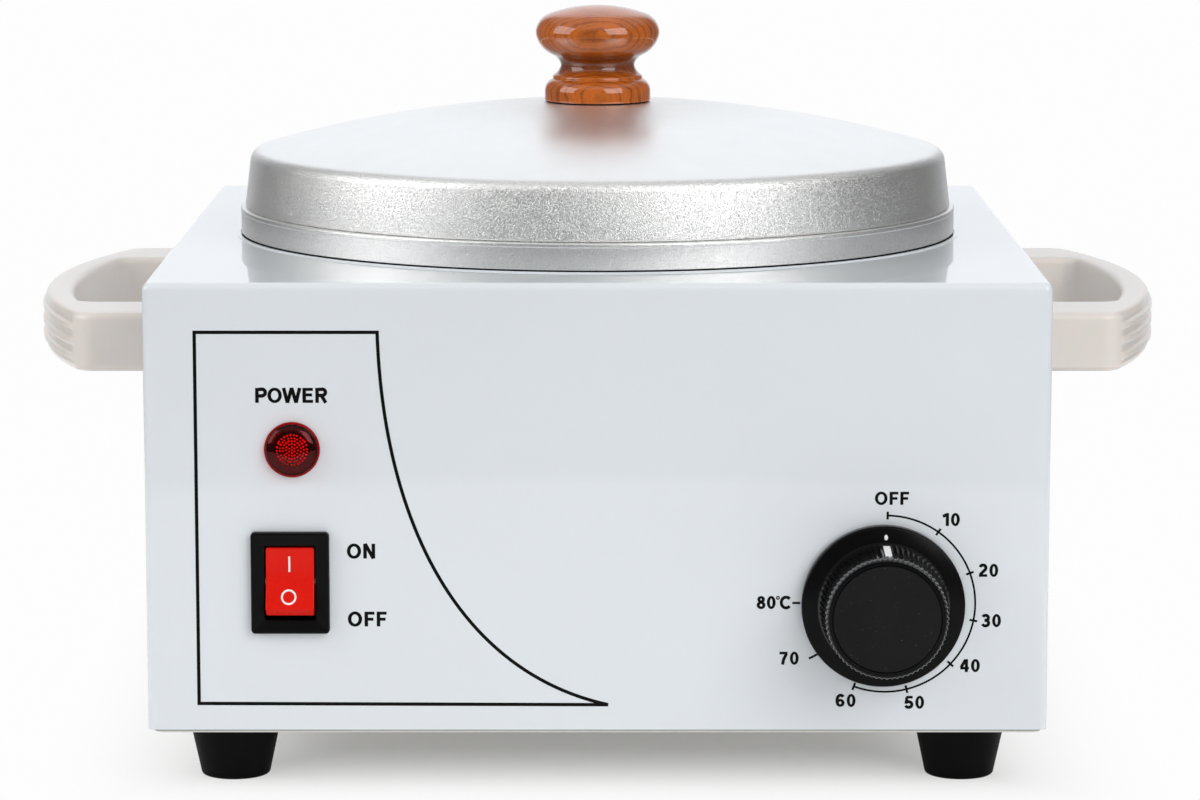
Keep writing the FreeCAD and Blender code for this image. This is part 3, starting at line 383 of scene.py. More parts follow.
class Finish(Tree):
    """Material with one Principled shader."""

    def __init__(self, name):
        self.material = bpy.data.materials.new(name)
        self.material.use_nodes = True
        super().__init__(self.material.node_tree)
        self.surface = self.tree.nodes["Principled BSDF"]

    def set(self, inputs):
        for name, value in inputs.items():
            self.feed(self.surface.inputs[name], value)

    def show(self, base, roughness, relief, depth, more):
        """Base colour, roughness, a relief of a depth in mm, and more inputs."""
        bump = self.out("ShaderNodeBump", None, {"Height": relief, "Distance": depth * mm})
        self.set({"Base Color": base, "Roughness": roughness, "Normal": bump, **more})

    def blend_surface(self, share, first, second):
        both = self.out("ShaderNodeMixShader", None, {0: share, 1: first, 2: second})
        self.feed(self.tree.nodes["Material Output"].inputs["Surface"], both)


def srgb(red, green, blue):
    """Linear colour of an 8-bit one."""
    shares = [level / 255 for level in (red, green, blue)]
    return tuple(s / 12.92 if s <= 0.04045 else ((s + 0.055) / 1.055) ** 2.4 for s in shares)


def shade(colour, factor):
    """Colour made darker or lighter."""
    return tuple(min(1, level * factor) for level in colour)


# Where finishes change, in mm: beside the pot's axis on the lid, where the grain and the painted shade in its
# hollows grow;
# above its foot on the wooden knob, where painted shade fills its narrow waist; and beside its axis on the
# thermostat knob
round_lid_knob = (18, 60)
on_skirt = (96, 99.5)
waist_shade_from, waist_shade_to = (6.6, 9.5), (11.8, 15.5)
grip_from, grip_to = (15.2, 15.6), (17.3, 17.6)
# How far the heart of the tree lies behind the wooden knob
heart_behind = 40 * mm

finishes = {}


def finish(maker, *values):
    """Material that a maker function dresses, made once for each set of values."""
    key = (maker.__name__, *[tuple(v) if hasattr(v, "__len__") else v for v in values])
    if key not in finishes:
        finishes[key] = Finish(maker.__name__)
        maker(finishes[key], *values)
    return finishes[key].material


def gloss_paint(tree, colour):
    """Baked gloss enamel on sheet steel: orange peel, a faint tone and a hard clear top."""
    tone, specks, peel = tree.noise(60, 3), tree.noise(1.1), tree.noise(2.4)
    tree.show(tree.tint(colour, 0.975, 1.02, tone * 0.8 + specks * 0.2), 0.3 + 0.12 * tone, peel, 0.003,
              {"Coat Weight": 1.0, "Coat Roughness": 0.03, "Coat IOR": 1.5, "Specular IOR Level": 0.3})


def satin_aluminium(tree, colour, grain, relief, roughness):
    """Spun aluminium with a leathery grain of short wrinkles, strong on the lid's skirt, faint on
    its dome and a little stronger round the knob. Painted shade darkens the wrinkles' hollows by as much.
    The grain and its relief are in metres."""
    x, y, _ = tree.parts(tree.position())
    radius = tree.beside_axis(x, y, (0, middle_y)) / mm
    wrinkles, broad = tree.noise(grain / mm, Distortion=1.6), tree.noise(9)
    crests = 1 - ((wrinkles - 0.5) ** 2) ** 0.5 * 4
    near_knob = 1 - radius.step(*round_lid_knob)
    amount = 0.12 + 0.88 * radius.step(*on_skirt) + 0.4 * near_knob
    # Painted shade: the colour darkens in the relief's hollows by the grain's amount, beside a faint random
    # tone
    light = 1 - (1 - crests) * amount * 0.6 - 0.1 * broad
    tree.show(tree.tint(colour, 0.62, 1.04, light),
              roughness + 0.05 * broad + 0.06 * wrinkles + 0.12 * near_knob, crests * amount, relief / mm,
              {"Metallic": 1.0})


def spun_aluminium(tree, colour):
    """Inside of the pot: turning marks round the axis under a satin sheen."""
    x, y, z = tree.parts(tree.position())
    radius = tree.beside_axis(x, y, (0, middle_y))
    lines = (radius / (0.9 * mm) + z / (0.7 * mm)).sine() * 0.5 + 0.5
    tone = tree.noise(14, 3)
    tree.show(tree.tint(colour, 0.9, 1, 0.5 * lines + 0.5 * tone), 0.28 + 0.12 * tone, lines, 0.006,
              {"Metallic": 1.0})


def varnished_wood(tree, light, dark, spacing):
    """Flat-sawn hardwood under clear varnish, with painted shade in the narrow waist under the ball.
    The rings stand upright behind one another."""
    x, y, z = tree.parts(tree.position())
    warp = tree.noise(11, 3, tree.scaled(1, 1, 0.8))
    depth = tree.beside_axis(x, y, (0, middle_y + heart_behind)) / spacing + warp * 2.4
    wide, close = ((depth * math.tau * count).sine() * 0.5 + 0.5 for count in (1, 3.3))
    fibres, tone = tree.noise(0.5, 3, tree.scaled(0.35, 1, 1)), tree.noise(6, 3)
    pores = tree.noise(0.3, 1, tree.scaled(0.3, 1, 1)).step(0.6, 0.72)
    late = (wide ** 5) * 0.42 + (close ** 3) * 0.20 + (fibres - 0.5) * 0.5 + (tone - 0.4) * 0.9
    height = (z - wood_low.z) / mm
    # Painted shade in the knob's narrow waist, under the overhang of the ball
    waist_shade = height.step(*waist_shade_from) * (1 - height.step(*waist_shade_to))
    body = tree.ramp(late, (0.0, light), (0.35, shade(light, 0.74)), (0.9, dark))
    tree.show(tree.mix(body, shade(dark, 0.6), 0.2 * pores + 0.75 * waist_shade), 0.42 - 0.12 * wide, fibres, 0.006,
              {"Coat Weight": 1.0, "Coat Roughness": 0.045, "Coat IOR": 1.6, "Specular IOR Level": 0.1})


def milky_plastic(tree, colour):
    """Warm off-white moulding that lets a little light in."""
    tone, grain = tree.noise(22, 3), tree.noise(0.5)
    tree.show(tree.tint(colour, 0.96, 1.02, 0.7 * tone + 0.3 * grain), 0.36 + 0.1 * grain, grain, 0.004,
              {"Subsurface Weight": 0.35, "Subsurface Radius": (1.0, 0.6, 0.4), "Subsurface Scale": 3 * mm,
               "Coat Weight": 0.45, "Coat Roughness": 0.15})


def black_moulding(tree, colour, roughness, specks):
    """Black plastic, with faint dust specks where it is matte and more shine on the fluted grip."""
    x, _, z = tree.parts(tree.position())
    hub = middle("control_knob")
    reach = tree.beside_axis(x, z, (hub.x, hub.z)) / mm
    grip = reach.step(*grip_from) * (1 - reach.step(*grip_to))
    tone, grain = tree.noise(9, 3), tree.noise(0.22)
    dust = tree.noise(0.5, 0).step(0.80, 0.86) * specks
    tree.show(tree.mix(tree.tint(colour, 0.8, 1.25, tone), srgb(90, 90, 90), dust),
              roughness + 0.08 * tone + 0.06 * grain, grain, 0.003,
              {"Specular IOR Level": 0.1, "Coat Roughness": 0.1, "Coat Weight": grip * 0.9})


def gloss_moulding(tree, colour, roughness):
    """Bright moulded plastic with a smooth skin."""
    tone, grain = tree.noise(5), tree.noise(0.3)
    tree.show(tree.tint(colour, 0.9, 1.05, tone), roughness + 0.1 * grain, grain, 0.002,
              {"Coat Weight": 0.08, "Coat Roughness": 0.1, "Specular IOR Level": 0.1})


def printed_ink(tree, colour):
    """Screen-printed ink, a little uneven at its scale."""
    tone = tree.noise(0.7)
    tree.show(tree.tint(colour, 0.8, 1.2, tone), 0.34 + 0.15 * tone, tone, 0.003,
              {"Specular IOR Level": 0.12})


def dark_rubber(tree, colour):
    """Moulded rubber: soft sheen, dust in the grain and slight flow marks."""
    grain, flow = tree.noise(0.4, 3), tree.noise(5, 2, tree.scaled(1, 1, 0.15))
    tree.show(tree.tint(colour, 0.7, 1.6, 0.5 * grain + 0.5 * flow), 0.42 + 0.2 * grain, grain, 0.01,
              {"Specular IOR Level": 0.08})


def plated_metal(tree, colour, roughness, grain):
    """Plated or drawn metal: grain of a size in mm, clouded tone and small scratches."""
    cloud, lines = tree.noise(6, 4), tree.noise(grain, 2, tree.scaled(1, 0.1, 1))
    tree.show(tree.tint(colour, 0.82, 1.06, 0.6 * cloud + 0.4 * lines), roughness + 0.16 * cloud,
              lines, 0.004, {"Metallic": 1.0})


def lead_sleeve(tree, colour):
    """Soft insulation of a lead, or a plain moulded fitting."""
    tone, grain = tree.noise(3, 3), tree.noise(0.3)
    tree.show(tree.tint(colour, 0.8, 1.1, tone), 0.4 + 0.15 * grain, grain, 0.006,
              {"Coat Weight": 0.15, "Coat Roughness": 0.3})


def glass_wool(tree, colour):
    """Matted glass fibre."""
    fibres, tone = tree.noise(0.8, 5, tree.scaled(0.3, 0.3, 1), Distortion=1.5), tree.noise(12, 3)
    tree.show(tree.tint(colour, 0.7, 1, 0.6 * fibres + 0.4 * tone), 0.85 + 0.1 * fibres, fibres, 0.5,
              {"Sheen Weight": 0.3})


def clear_glass(tree, colour):
    """Clear glass bulb."""
    smudge = tree.noise(3, 3)
    tree.set({"Base Color": tree.tint(colour, 0.9, 1, smudge), "Roughness": 0.03 + 0.08 * smudge,
              "Transmission Weight": 1.0, "IOR": 1.45})


def tinted_lens(tree, colour):
    """Clear coloured lens: light passes straight through and takes the colour, and the skin shines."""
    tree.set({"Base Color": tree.mix((0.95, 0.30, 0.30), (1, 0.36, 0.36), tree.noise(2)),
              "Roughness": 0.02, "Metallic": 1.0})
    clear = tree.out("ShaderNodeBsdfTransparent", None, {"Color": colour})
    shine = tree.value("ShaderNodeFresnel", None, {"IOR": 1.5}).least(0.05)
    tree.blend_surface(shine, clear, tree.surface.outputs["BSDF"])


def lamp_beads(tree, colour):
    """Bright beads behind the lens, fading towards their lower side."""
    _, _, z = tree.parts(tree.position())
    height = (z - middle("pilot_lamp_lens").z) / (9 * mm) + 0.5
    glow = tree.noise(1.6) * 0.55 + height * 0.55
    tree.set({"Base Color": tree.tint(colour, 0.35, 1, glow.step(0.2, 0.7)),
              "Emission Color": tree.tint(colour, 0.25, 1, glow.step(0.2, 0.75)),
              "Emission Strength": 0.7, "Roughness": 0.25, "Coat Weight": 0.5})


# ---------------------------------------------------------------- settings

def length(name, description, default):
    """Length with its default in mm."""
    return FloatProperty(name=name, description=description, default=default * mm, unit="LENGTH", precision=5)


def number(name, description, default, least=0):
    return FloatProperty(name=name, description=description, default=default, min=least)


def colour(name, description, default):
    return FloatVectorProperty(name=name, description=description, default=default, subtype="COLOR",
                               min=0, max=1)


class CaseSettings(bpy.types.PropertyGroup):
    """Finish of the case and of the bought parts behind it"""
    paint: colour("Paint", "Enamel of the case", srgb(224, 229, 233))
    # The rubber colour also darkens the strips laid as painted shadow under the rim and along the base plate
    rubber: colour("Rubber", "Feet, gasket and gland seal", srgb(9, 9, 10))
    zinc: colour("Zinc plate", "Base plate, screws and brackets", srgb(232, 231, 224))


class PrintSettings(bpy.types.PropertyGroup):
    """Print on the front panel"""
    ink: colour("Ink", "Ink of the lines and words", srgb(3, 3, 3))
    thickness: length("Ink thickness", "How far the print stands out", 0.03)
    frame_line: length("Frame line", "Width of the outline's line", 0.92)
    scale_line: length("Scale line", "Width of the dial scale's arc", 0.52)
    tick_line: length("Tick line", "Width of the dial scale's ticks", 0.60)
    scale_radius: length("Scale radius", "Radius of the dial scale's arc", 23.85)
    word_height: length("Word height", "Height of the panel's words", 4.0)
    number_height: length("Number height", "Height of the dial's numbers", 3.5)


class HandleSettings(bpy.types.PropertyGroup):
    """Side handles"""
    plastic: colour("Plastic", "Colour of the handles", srgb(228, 221, 215))
    reach: length("Reach", "From the case to the plain end of the grip", 38.9)
    half_depth: length("Half depth", "From the middle to the outside of an arm", 77)
    grip: length("Grip", "Width of the grip", 8)
    arm: length("Arm", "Width of an arm", 26)
    end_radius: length("End radius", "Radius of the grip's bow", 192)
    corner: length("Corner", "Outer corner radius", 7)
    inner_corner: length("Inner corner", "Corner radius of the opening", 5)
    edge: length("Edge", "Rounding of the long edges", 2.0)
    rib_count: IntProperty(name="Ribs", description="Ribs round the end of the grip", default=3, min=0)
    rib_pitch: length("Rib pitch", "From one rib to the next", 4.1)
    rib_width: length("Rib width", "Width of a rib", 1.9)
    rib_height: length("Rib height", "How far a rib stands out", 0.9)
    rib_setback: length("Rib setback", "From the end of the grip to where the ribs start", 15)


class PotSettings(bpy.types.PropertyGroup):
    """Pot and lid"""
    metal: colour("Aluminium", "Colour of the pot and the lid", srgb(243, 243, 242))
    grain: length("Grain", "Size of the leathery grain", 0.64)
    lid_relief: length("Lid relief", "Depth of the grain on the lid's skirt", 0.052)
    rim_relief: length("Rim relief", "Depth of the grain on the pot's rim", 0.032)
    lid_roughness: number("Lid roughness", "Dullness of the lid", 0.25)
    rim_roughness: number("Rim roughness", "Dullness of the pot's rim", 0.25)
    wall: length("Wall", "Thickness of the sheet", 1.2)
    rim_gap: length("Rim gap", "Shadow gap between the case and the rim", 0.6)
    rim_width: length("Rim width", "From the cup's outside to the rim's", 7.1)
    rim_edge: length("Rim edge", "Rounding of the rim's top edge", 0.55)
    rim_bead: length("Rim bead", "How far the rim's top edge stands out", 0.12)
    lip_inset: length("Lip inset", "From the rim's outside to the lip's", 2.7)
    flare: length("Flare", "Height of the flare below the rim's top", 4.5)
    cup_corner: length("Cup corner", "Rounding at the pot's floor", 10)
    skirt_height: length("Skirt height", "From the lid's edge to its shoulder", 15.7)
    taper: length("Taper", "How much narrower the skirt is at its shoulder", 1.9)
    shoulder: length("Shoulder", "Rounding between the skirt and the dome", 3.6)
    bead: length("Bead", "Rounding of the skirt's lower edge", 0.7)


class WoodSettings(bpy.types.PropertyGroup):
    """Knob of the lid"""
    light: colour("Light wood", "Early wood", srgb(198, 101, 26))
    dark: colour("Dark wood", "Late wood", srgb(110, 42, 8))
    ring_spacing: length("Ring spacing", "From one year ring to the next", 1.6)


class LampSettings(bpy.types.PropertyGroup):
    """Pilot lamp"""
    lens: colour("Lens", "Colour of the clear lens", (0.86, 0.02, 0.02))
    beads: colour("Beads", "Colour of the beads", (1.0, 0.015, 0.01))
    back: colour("Back", "Surround of the beads", (0.006, 0.0006, 0.0006))
    # The rim's bright red stands partly for light caught in the lens's edge: painted light
    rim: colour("Rim", "Ring round the lens", (0.32, 0.005, 0.007))
    bulge: number("Bulge", "Flatness of the lens's face, 2 for an ellipse", 3.5, 2)
    wall: length("Wall", "Thickness of the lens", 0.8)
    bead_field: length("Bead field", "Radius of the beaded disc", 4.65)
    bead_radius: length("Bead radius", "Radius of one bead", 0.27)
    bead_pitch: length("Bead pitch", "From one ring of beads to the next", 0.80)


class SwitchSettings(bpy.types.PropertyGroup):
    """Rocker switch"""
    red: colour("Rocker", "Colour of the rocker", (0.74, 0.010, 0.004))
    black: colour("Bezel", "Colour of the bezel", (0.003, 0.003, 0.0034))
    mark: colour("Marks", "Colour of the I and the O", srgb(245, 243, 241))
    opening_width: length("Opening width", "Width of the rocker's opening", 13.5)
    opening_height: length("Opening height", "Height of the rocker's opening", 20)
    bezel_height: length("Bezel height", "How far the bezel stands out", 2.2)
    bezel_slope: length("Bezel slope", "How much the bezel's face falls to its opening", 0.55)
    bevel: length("Bevel", "Bevel of the bezel's outer edge", 0.7)
    side_gap: length("Side gap", "Between the rocker and its opening", 0.35)
    tilt: FloatProperty(name="Tilt", description="Lean of the rocker from level", subtype="ANGLE",
                        default=math.radians(10))
    pivot_depth: length("Pivot depth", "Pivot behind the panel", 1.75)
    valley: length("Valley", "Middle of the rocker above its pivot", 3.2)
    valley_radius: length("Valley radius", "Hollow of the rocker", 18)
    tip: length("Tip", "Lower tip of the rocker above its pivot", 4.6)
    tip_drop: length("Tip drop", "Lower tip of the rocker from its middle", 7.6)
    tip_rise: length("Tip rise", "Upper tip of the rocker from its middle", 8.8)
    mark_length: length("Mark length", "Length of the I and diameter of the O", 4.1)
    mark_line: length("Mark line", "Line of the I and the O", 0.50)
    on_place: length("Place of the I", "Middle of the I above the rocker's", 4.5)
    off_place: length("Place of the O", "Middle of the O below the rocker's", 4.25)


class DialSettings(bpy.types.PropertyGroup):
    """Thermostat knob"""
    black: colour("Knob", "Colour of the knob", (0.003, 0.003, 0.0032))
    cap: colour("Cap", "Colour of the matte cap", (0.009, 0.009, 0.0098))
    mark: colour("Pointer", "Colour of the pointer and the dot", srgb(244, 244, 243))
    flutes: IntProperty(name="Flutes", description="Flutes round the grip", default=72, min=3)
    flute_depth: length("Flute depth", "Depth of a flute", 0.34)
    skirt_edge: length("Skirt edge", "Rounding of the skirt", 0.8)
    skirt_height: length("Skirt height", "Front of the skirt's rim from the panel", 4.2)
    grip_start: length("Grip start", "Foot of the grip from the panel", 5.3)
    grip_base: length("Grip base", "Radius at the foot of the grip", 17.1)
    grip_front: length("Grip front", "Radius at the front of the grip", 16.15)
    chamfer: length("Chamfer", "Chamfer of the grip's front edge", 0.7)
    cap_radius: length("Cap radius", "Radius of the matte cap", 14.1)
    cap_gap: length("Cap gap", "Groove round the cap", 0.22)


class StageSettings(bpy.types.PropertyGroup):
    """Floor, lamps and camera"""
    focal_length: FloatProperty(name="Focal length", description="Camera lens on a 36 mm sensor",
                                default=135.27, subtype="DISTANCE_CAMERA")
    camera_place: FloatVectorProperty(name="Camera place", description="Where the camera stands",
                                      default=(0.0007, -1.2992, 0.2851), subtype="TRANSLATION", precision=4)
    camera_pitch: FloatProperty(name="Camera pitch", description="How far the camera looks down",
                                default=math.radians(8.655), subtype="ANGLE")
    front_light: number("Front light", "World round the sides and the front", 0.19)
    back_light: number("Back light", "World behind the object", 1.04)
    ceiling_light: number("Ceiling light", "World overhead", 0.70)
    right_lamp: number("Right lamp", "Radiance of the right softbox", 3.3)
    left_lamp: number("Left lamp", "Radiance of the left softbox", 2.9)
    fill_lamp: number("Fill lamp", "Radiance of the fill in front", 0.31)


class WarmerSettings(bpy.types.PropertyGroup):
    """Sizes and colours of the wax warmer"""
    case: PointerProperty(type=CaseSettings)
    print: PointerProperty(type=PrintSettings)
    handles: PointerProperty(type=HandleSettings)
    pot: PointerProperty(type=PotSettings)
    wood: PointerProperty(type=WoodSettings)
    lamp: PointerProperty(type=LampSettings)
    switch: PointerProperty(type=SwitchSettings)
    dial: PointerProperty(type=DialSettings)
    stage: PointerProperty(type=StageSettings)


def slot_finishes(settings):
    """Finish of each material slot of the frame."""
    case, pot, wood = settings.case, settings.pot, settings.wood
    # Maker, colour and its other values, such as the roughness and the size of the grain in mm
    rows = {
        "case_paint": (gloss_paint, case.paint),
        "zinc_steel": (plated_metal, case.zinc, 0.28, 0.6),
        "foot_rubber": (dark_rubber, case.rubber),
        "handle_plastic": (milky_plastic, settings.handles.plastic),
        "well_steel": (plated_metal, srgb(196, 198, 200), 0.3, 1.5),
        "pot_aluminium": (satin_aluminium, pot.metal, pot.grain, pot.rim_relief, pot.rim_roughness),
        "lid_aluminium": (satin_aluminium, pot.metal, pot.grain, pot.lid_relief, pot.lid_roughness),
        "knob_wood": (varnished_wood, wood.light, wood.dark, wood.ring_spacing),
        "heater_sheath": (plated_metal, srgb(176, 172, 164), 0.4, 1.0),
        "insulation_wool": (glass_wool, srgb(226, 220, 204)),
        "pilot_red": (tinted_lens, settings.lamp.lens),
        "black_plastic": (black_moulding, settings.switch.black, 0.35, 0.0),
        "neon_glass": (clear_glass, (0.95, 0.85, 0.78)),
        "rocker_red": (gloss_moulding, settings.switch.red, 0.22),
        "white_mark": (printed_ink, settings.dial.mark),
        "cream_plastic": (lead_sleeve, srgb(222, 213, 188)),
        "brass_tab": (plated_metal, srgb(212, 190, 128), 0.25, 0.5),
        "copper": (plated_metal, srgb(201, 125, 86), 0.25, 0.8),
        "brown_insulation": (lead_sleeve, srgb(98, 55, 34)),
        "blue_insulation": (lead_sleeve, srgb(38, 84, 168)),
        "green_insulation": (lead_sleeve, srgb(88, 152, 52)),
    }
    return {slot: finish(*row) for slot, row in rows.items()}


# ---------------------------------------------------------------- lettering

# Letters are one unit high and drawn as the middle lines of their strokes. Level strokes are thinner.
stem = 0.235
bar = 0.200
half_stem = stem / 2
half_bar = bar / 2
cap_line = 1 - half_bar
letter_gap = 0.15
left_stem = [(half_stem, 0), (half_stem, 1)]
close_pairs = {"PO": 0.04, "OW": 0.02, "WE": 0.09, "ON": 0.13, "80": 0.08, "0°": 0, "°C": 0}

glyphs = {
    "P": (0.76, [left_stem,
                 [(stem, cap_line), (0.43, cap_line)] + arc((0.43, 0.69), (0.24, 0.225), 80, -80, 10)
                 + [(0.43, 0.465), (stem, 0.465)]]),
    "W": (1.24, [[(0.09, 1), (0.335, 0)], [(0.62, 1), (0.335, 0)], [(0.62, 1), (0.905, 0)],
                 [(1.15, 1), (0.905, 0)]]),
    "E": (0.70, [left_stem, [(stem, cap_line), (0.69, cap_line)],
                 [(stem, 0.53), (0.64, 0.53)], [(stem, half_bar), (0.70, half_bar)]]),
    "R": (0.78, [left_stem,
                 [(stem, cap_line), (0.44, cap_line)] + arc((0.44, 0.705), (0.23, 0.21), 80, -80, 10)
                 + [(0.44, 0.495), (stem, 0.495)], [(0.42, 0.45), (0.69, 0)]]),
    "N": (0.79, [left_stem, [(0.79 - half_stem, 0), (0.79 - half_stem, 1)],
                 [(0.12, 1), (0.67, 0)]]),
    "F": (0.66, [left_stem, [(stem, cap_line), (0.66, cap_line)],
                 [(stem, 0.49), (0.59, 0.49)]]),
    "C": (0.82, [arc((0.46, 0.5), (0.365, 0.415), 42, 318, 20)]),
    "1": (0.52, [[(0.41, 0), (0.41, 1)], [(0.06, 0.74), (0.20, 0.79), (0.32, 0.90)]]),
    "2": (0.67, [arc((0.34, 0.69), (0.225, 0.22), 165, -30, 12) + [(0.13, 0.16)],
                 [(0.04, half_bar), (0.66, half_bar)]]),
    "3": (0.67, [arc((0.33, 0.72), (0.215, 0.19), 160, -80, 12) + [(0.25, 0.53)],
                 [(0.25, 0.51)] + arc((0.325, 0.305), (0.245, 0.215), 80, -160, 12)]),
    "4": (0.69, [[(0.50, 0), (0.50, 1)], [(0.03, 0.30), (0.69, 0.30)], [(0.43, 0.96), (0.10, 0.36)]]),
    "5": (0.67, [[(0.14, cap_line), (0.63, cap_line)],
                 [(0.19, 0.90), (0.14, 0.50)] + arc((0.325, 0.325), (0.245, 0.225), 130, -160, 12)]),
    "6": (0.68, [arc((0.37, 0.55), (0.265, 0.36), 40, 180, 12) + [(0.105, 0.34)]]),
    "7": (0.66, [[(0.03, cap_line), (0.64, cap_line)], [(0.55, 0.83), (0.35, 0.42), (0.26, 0)]]),
}
# Closed letters: middle, outer radii and width of the line at the sides
rings = {
    "O": (0.97, [((0.485, 0.5), (0.475, 0.515), stem)]),
    "0": (0.69, [((0.345, 0.5), (0.335, 0.51), stem)]),
    "6": (0.68, [((0.345, 0.315), (0.33, 0.31), stem)]),
    "8": (0.69, [((0.345, 0.735), (0.29, 0.265), stem), ((0.345, 0.295), (0.335, 0.305), stem)]),
    "°": (0.32, [((0.16, 0.86), (0.15, 0.15), 0.10)]),
}


def lettering(text, centre, height, place, thickness):
    """Shells of a line of letters about its middle."""
    widths = [(glyphs.get(letter) or rings[letter])[0] for letter in text]
    gaps = [close_pairs.get(pair, letter_gap) for pair in map("".join, zip(text, text[1:]))] + [0]
    start = centre[0] - height * (sum(widths) + sum(gaps)) / 2
    shells = []

    def fitted(points):
        return [(start + height * x, centre[1] + height * (y - 0.5)) for x, y in points]

    for letter, width, gap in zip(text, widths, gaps):
        lift = 1.0
        for line in glyphs.get(letter, (0, []))[1]:
            level = all(y == line[0][1] for _, y in line)
            shells.append(stroke(fitted(line), (bar if level else stem) * height, place, thickness * lift))
            lift += 0.05
        for hub, radii, side in rings.get(letter, (0, []))[1]:
            inner = (radii[0] - side, radii[1] - side * bar / stem)
            loops = [fitted(arc(hub, reach, 0, 360, 36)[:-1]) for reach in (radii, inner)]
            shells.append(flat_ring(*loops, place, thickness * lift))
        start += height * (width + gap)
    return shells


# ---------------------------------------------------------------- operators

class Builder:
    """What the operators share."""
    bl_options = {"REGISTER", "UNDO"}

    def execute(self, context):
        self.build(context.scene.wax_warmer)
        return {"FINISHED"}


class WAXWARMER_OT_carried_nodes(Builder, bpy.types.Operator):
    """Gives every node of the frame its finish"""
    bl_idname = "wax_warmer.carried_nodes"
    bl_label = "Finishes of the frame"

    def build(self, settings):
        looks = slot_finishes(settings)
        for subpart in frame["record"]["subparts"]:
            for slot in frame["nodes"][subpart["node"]].material_slots:
                slot.material = looks[subpart["material_slot"]]


class WAXWARMER_OT_panel_print(Builder, bpy.types.Operator):
    """Prints the outline, the words and the dial scale on the front panel"""
    bl_idname = "wax_warmer.panel_print"
    bl_label = "Panel print"

    # Places on the panel in mm: from its middle and from its bottom edge
    frame_left, frame_bottom = -106.17, 7.2
    side = ((-58.0, 107.05), (-56.7, 56.2), (-36.8, 15.7), (2.9, 6.85))
    words = {"POWER": (-80.8, 90.27), "ON": (-62.72, 48.48), "OFF": (-61.2, 30.12)}
    numbers = {"OFF": (78.0, 62.7), "10": (93.7, 57.0), "20": (103.8, 43.3), "30": (104.7, 29.7),
               "40": (99.2, 17.5), "50": (84.5, 7.5), "60": (66.2, 8.0), "70": (51.0, 19.5),
               "80°C": (46.85, 34.6)}
    scale_hub = (76.55, 34.22)
    # Angles of the ticks from the top and of the scale's end, in degrees
    ticks = (0.9, 35.5, 69.6, 100.9, 133, 165.9, 200.2, 233.3, 270.6)
    scale_end = 200.2
    # Lean from the radius in degrees, distance of the middle and length in mm
    plain_tick = (0, 23.85, 2.1)
    odd_ticks = {233.3: (9.6, 23.85, 2.5), 270.6: (0, 23.7, 2.1)}
    overlap = 1.1

    def build(self, settings):
        values = settings.print
        curve = [(x * mm, z * mm) for x, z in self.side]
        left, bottom = self.frame_left * mm, self.frame_bottom * mm
        outline = [(left, bottom), (left, curve[0][1]), *bezier(*curve)]
        base = [(left - values.frame_line / 2, bottom), curve[-1]]
        self.lay("outline", values, [self.line(values, outline, values.frame_line),
                                     self.line(values, base, values.frame_line, self.overlap)])
        self.lay("words", values, self.texts(values, self.words, values.word_height))
        self.lay("dial_scale", values, self.scale(values))
        self.lay("dial_numbers", values, self.texts(values, self.numbers, values.number_height))

    def lay(self, name, values, shells):
        piece("print_" + name, shells, "base", "black_plastic", look=finish(printed_ink, values.ink))

    def line(self, values, points, width, lift=1):
        return stroke(points, width, on_panel, values.thickness * lift)

    def texts(self, values, rows, height):
        return [shell for text, (x, z) in rows.items()
                for shell in lettering(text, (x * mm, z * mm), height, on_panel, values.thickness)]

    def scale(self, values):
        hub = Vector([place * mm for place in self.scale_hub])
        arch = arc(hub, (values.scale_radius,) * 2, 90 - self.ticks[0], 90 - self.scale_end, 96)
        shells = [self.line(values, arch, values.scale_line)]
        for angle in self.ticks:
            lean, reach, long = self.odd_ticks.get(angle, self.plain_tick)
            radial, way = (Vector((math.sin(a), math.cos(a))) for a in
                           (math.radians(angle), math.radians(angle + lean)))
            ends = [hub + radial * reach * mm + way * side * long * mm / 2 for side in (-1, 1)]
            shells.append(self.line(values, ends, values.tick_line, self.overlap))
        return shells


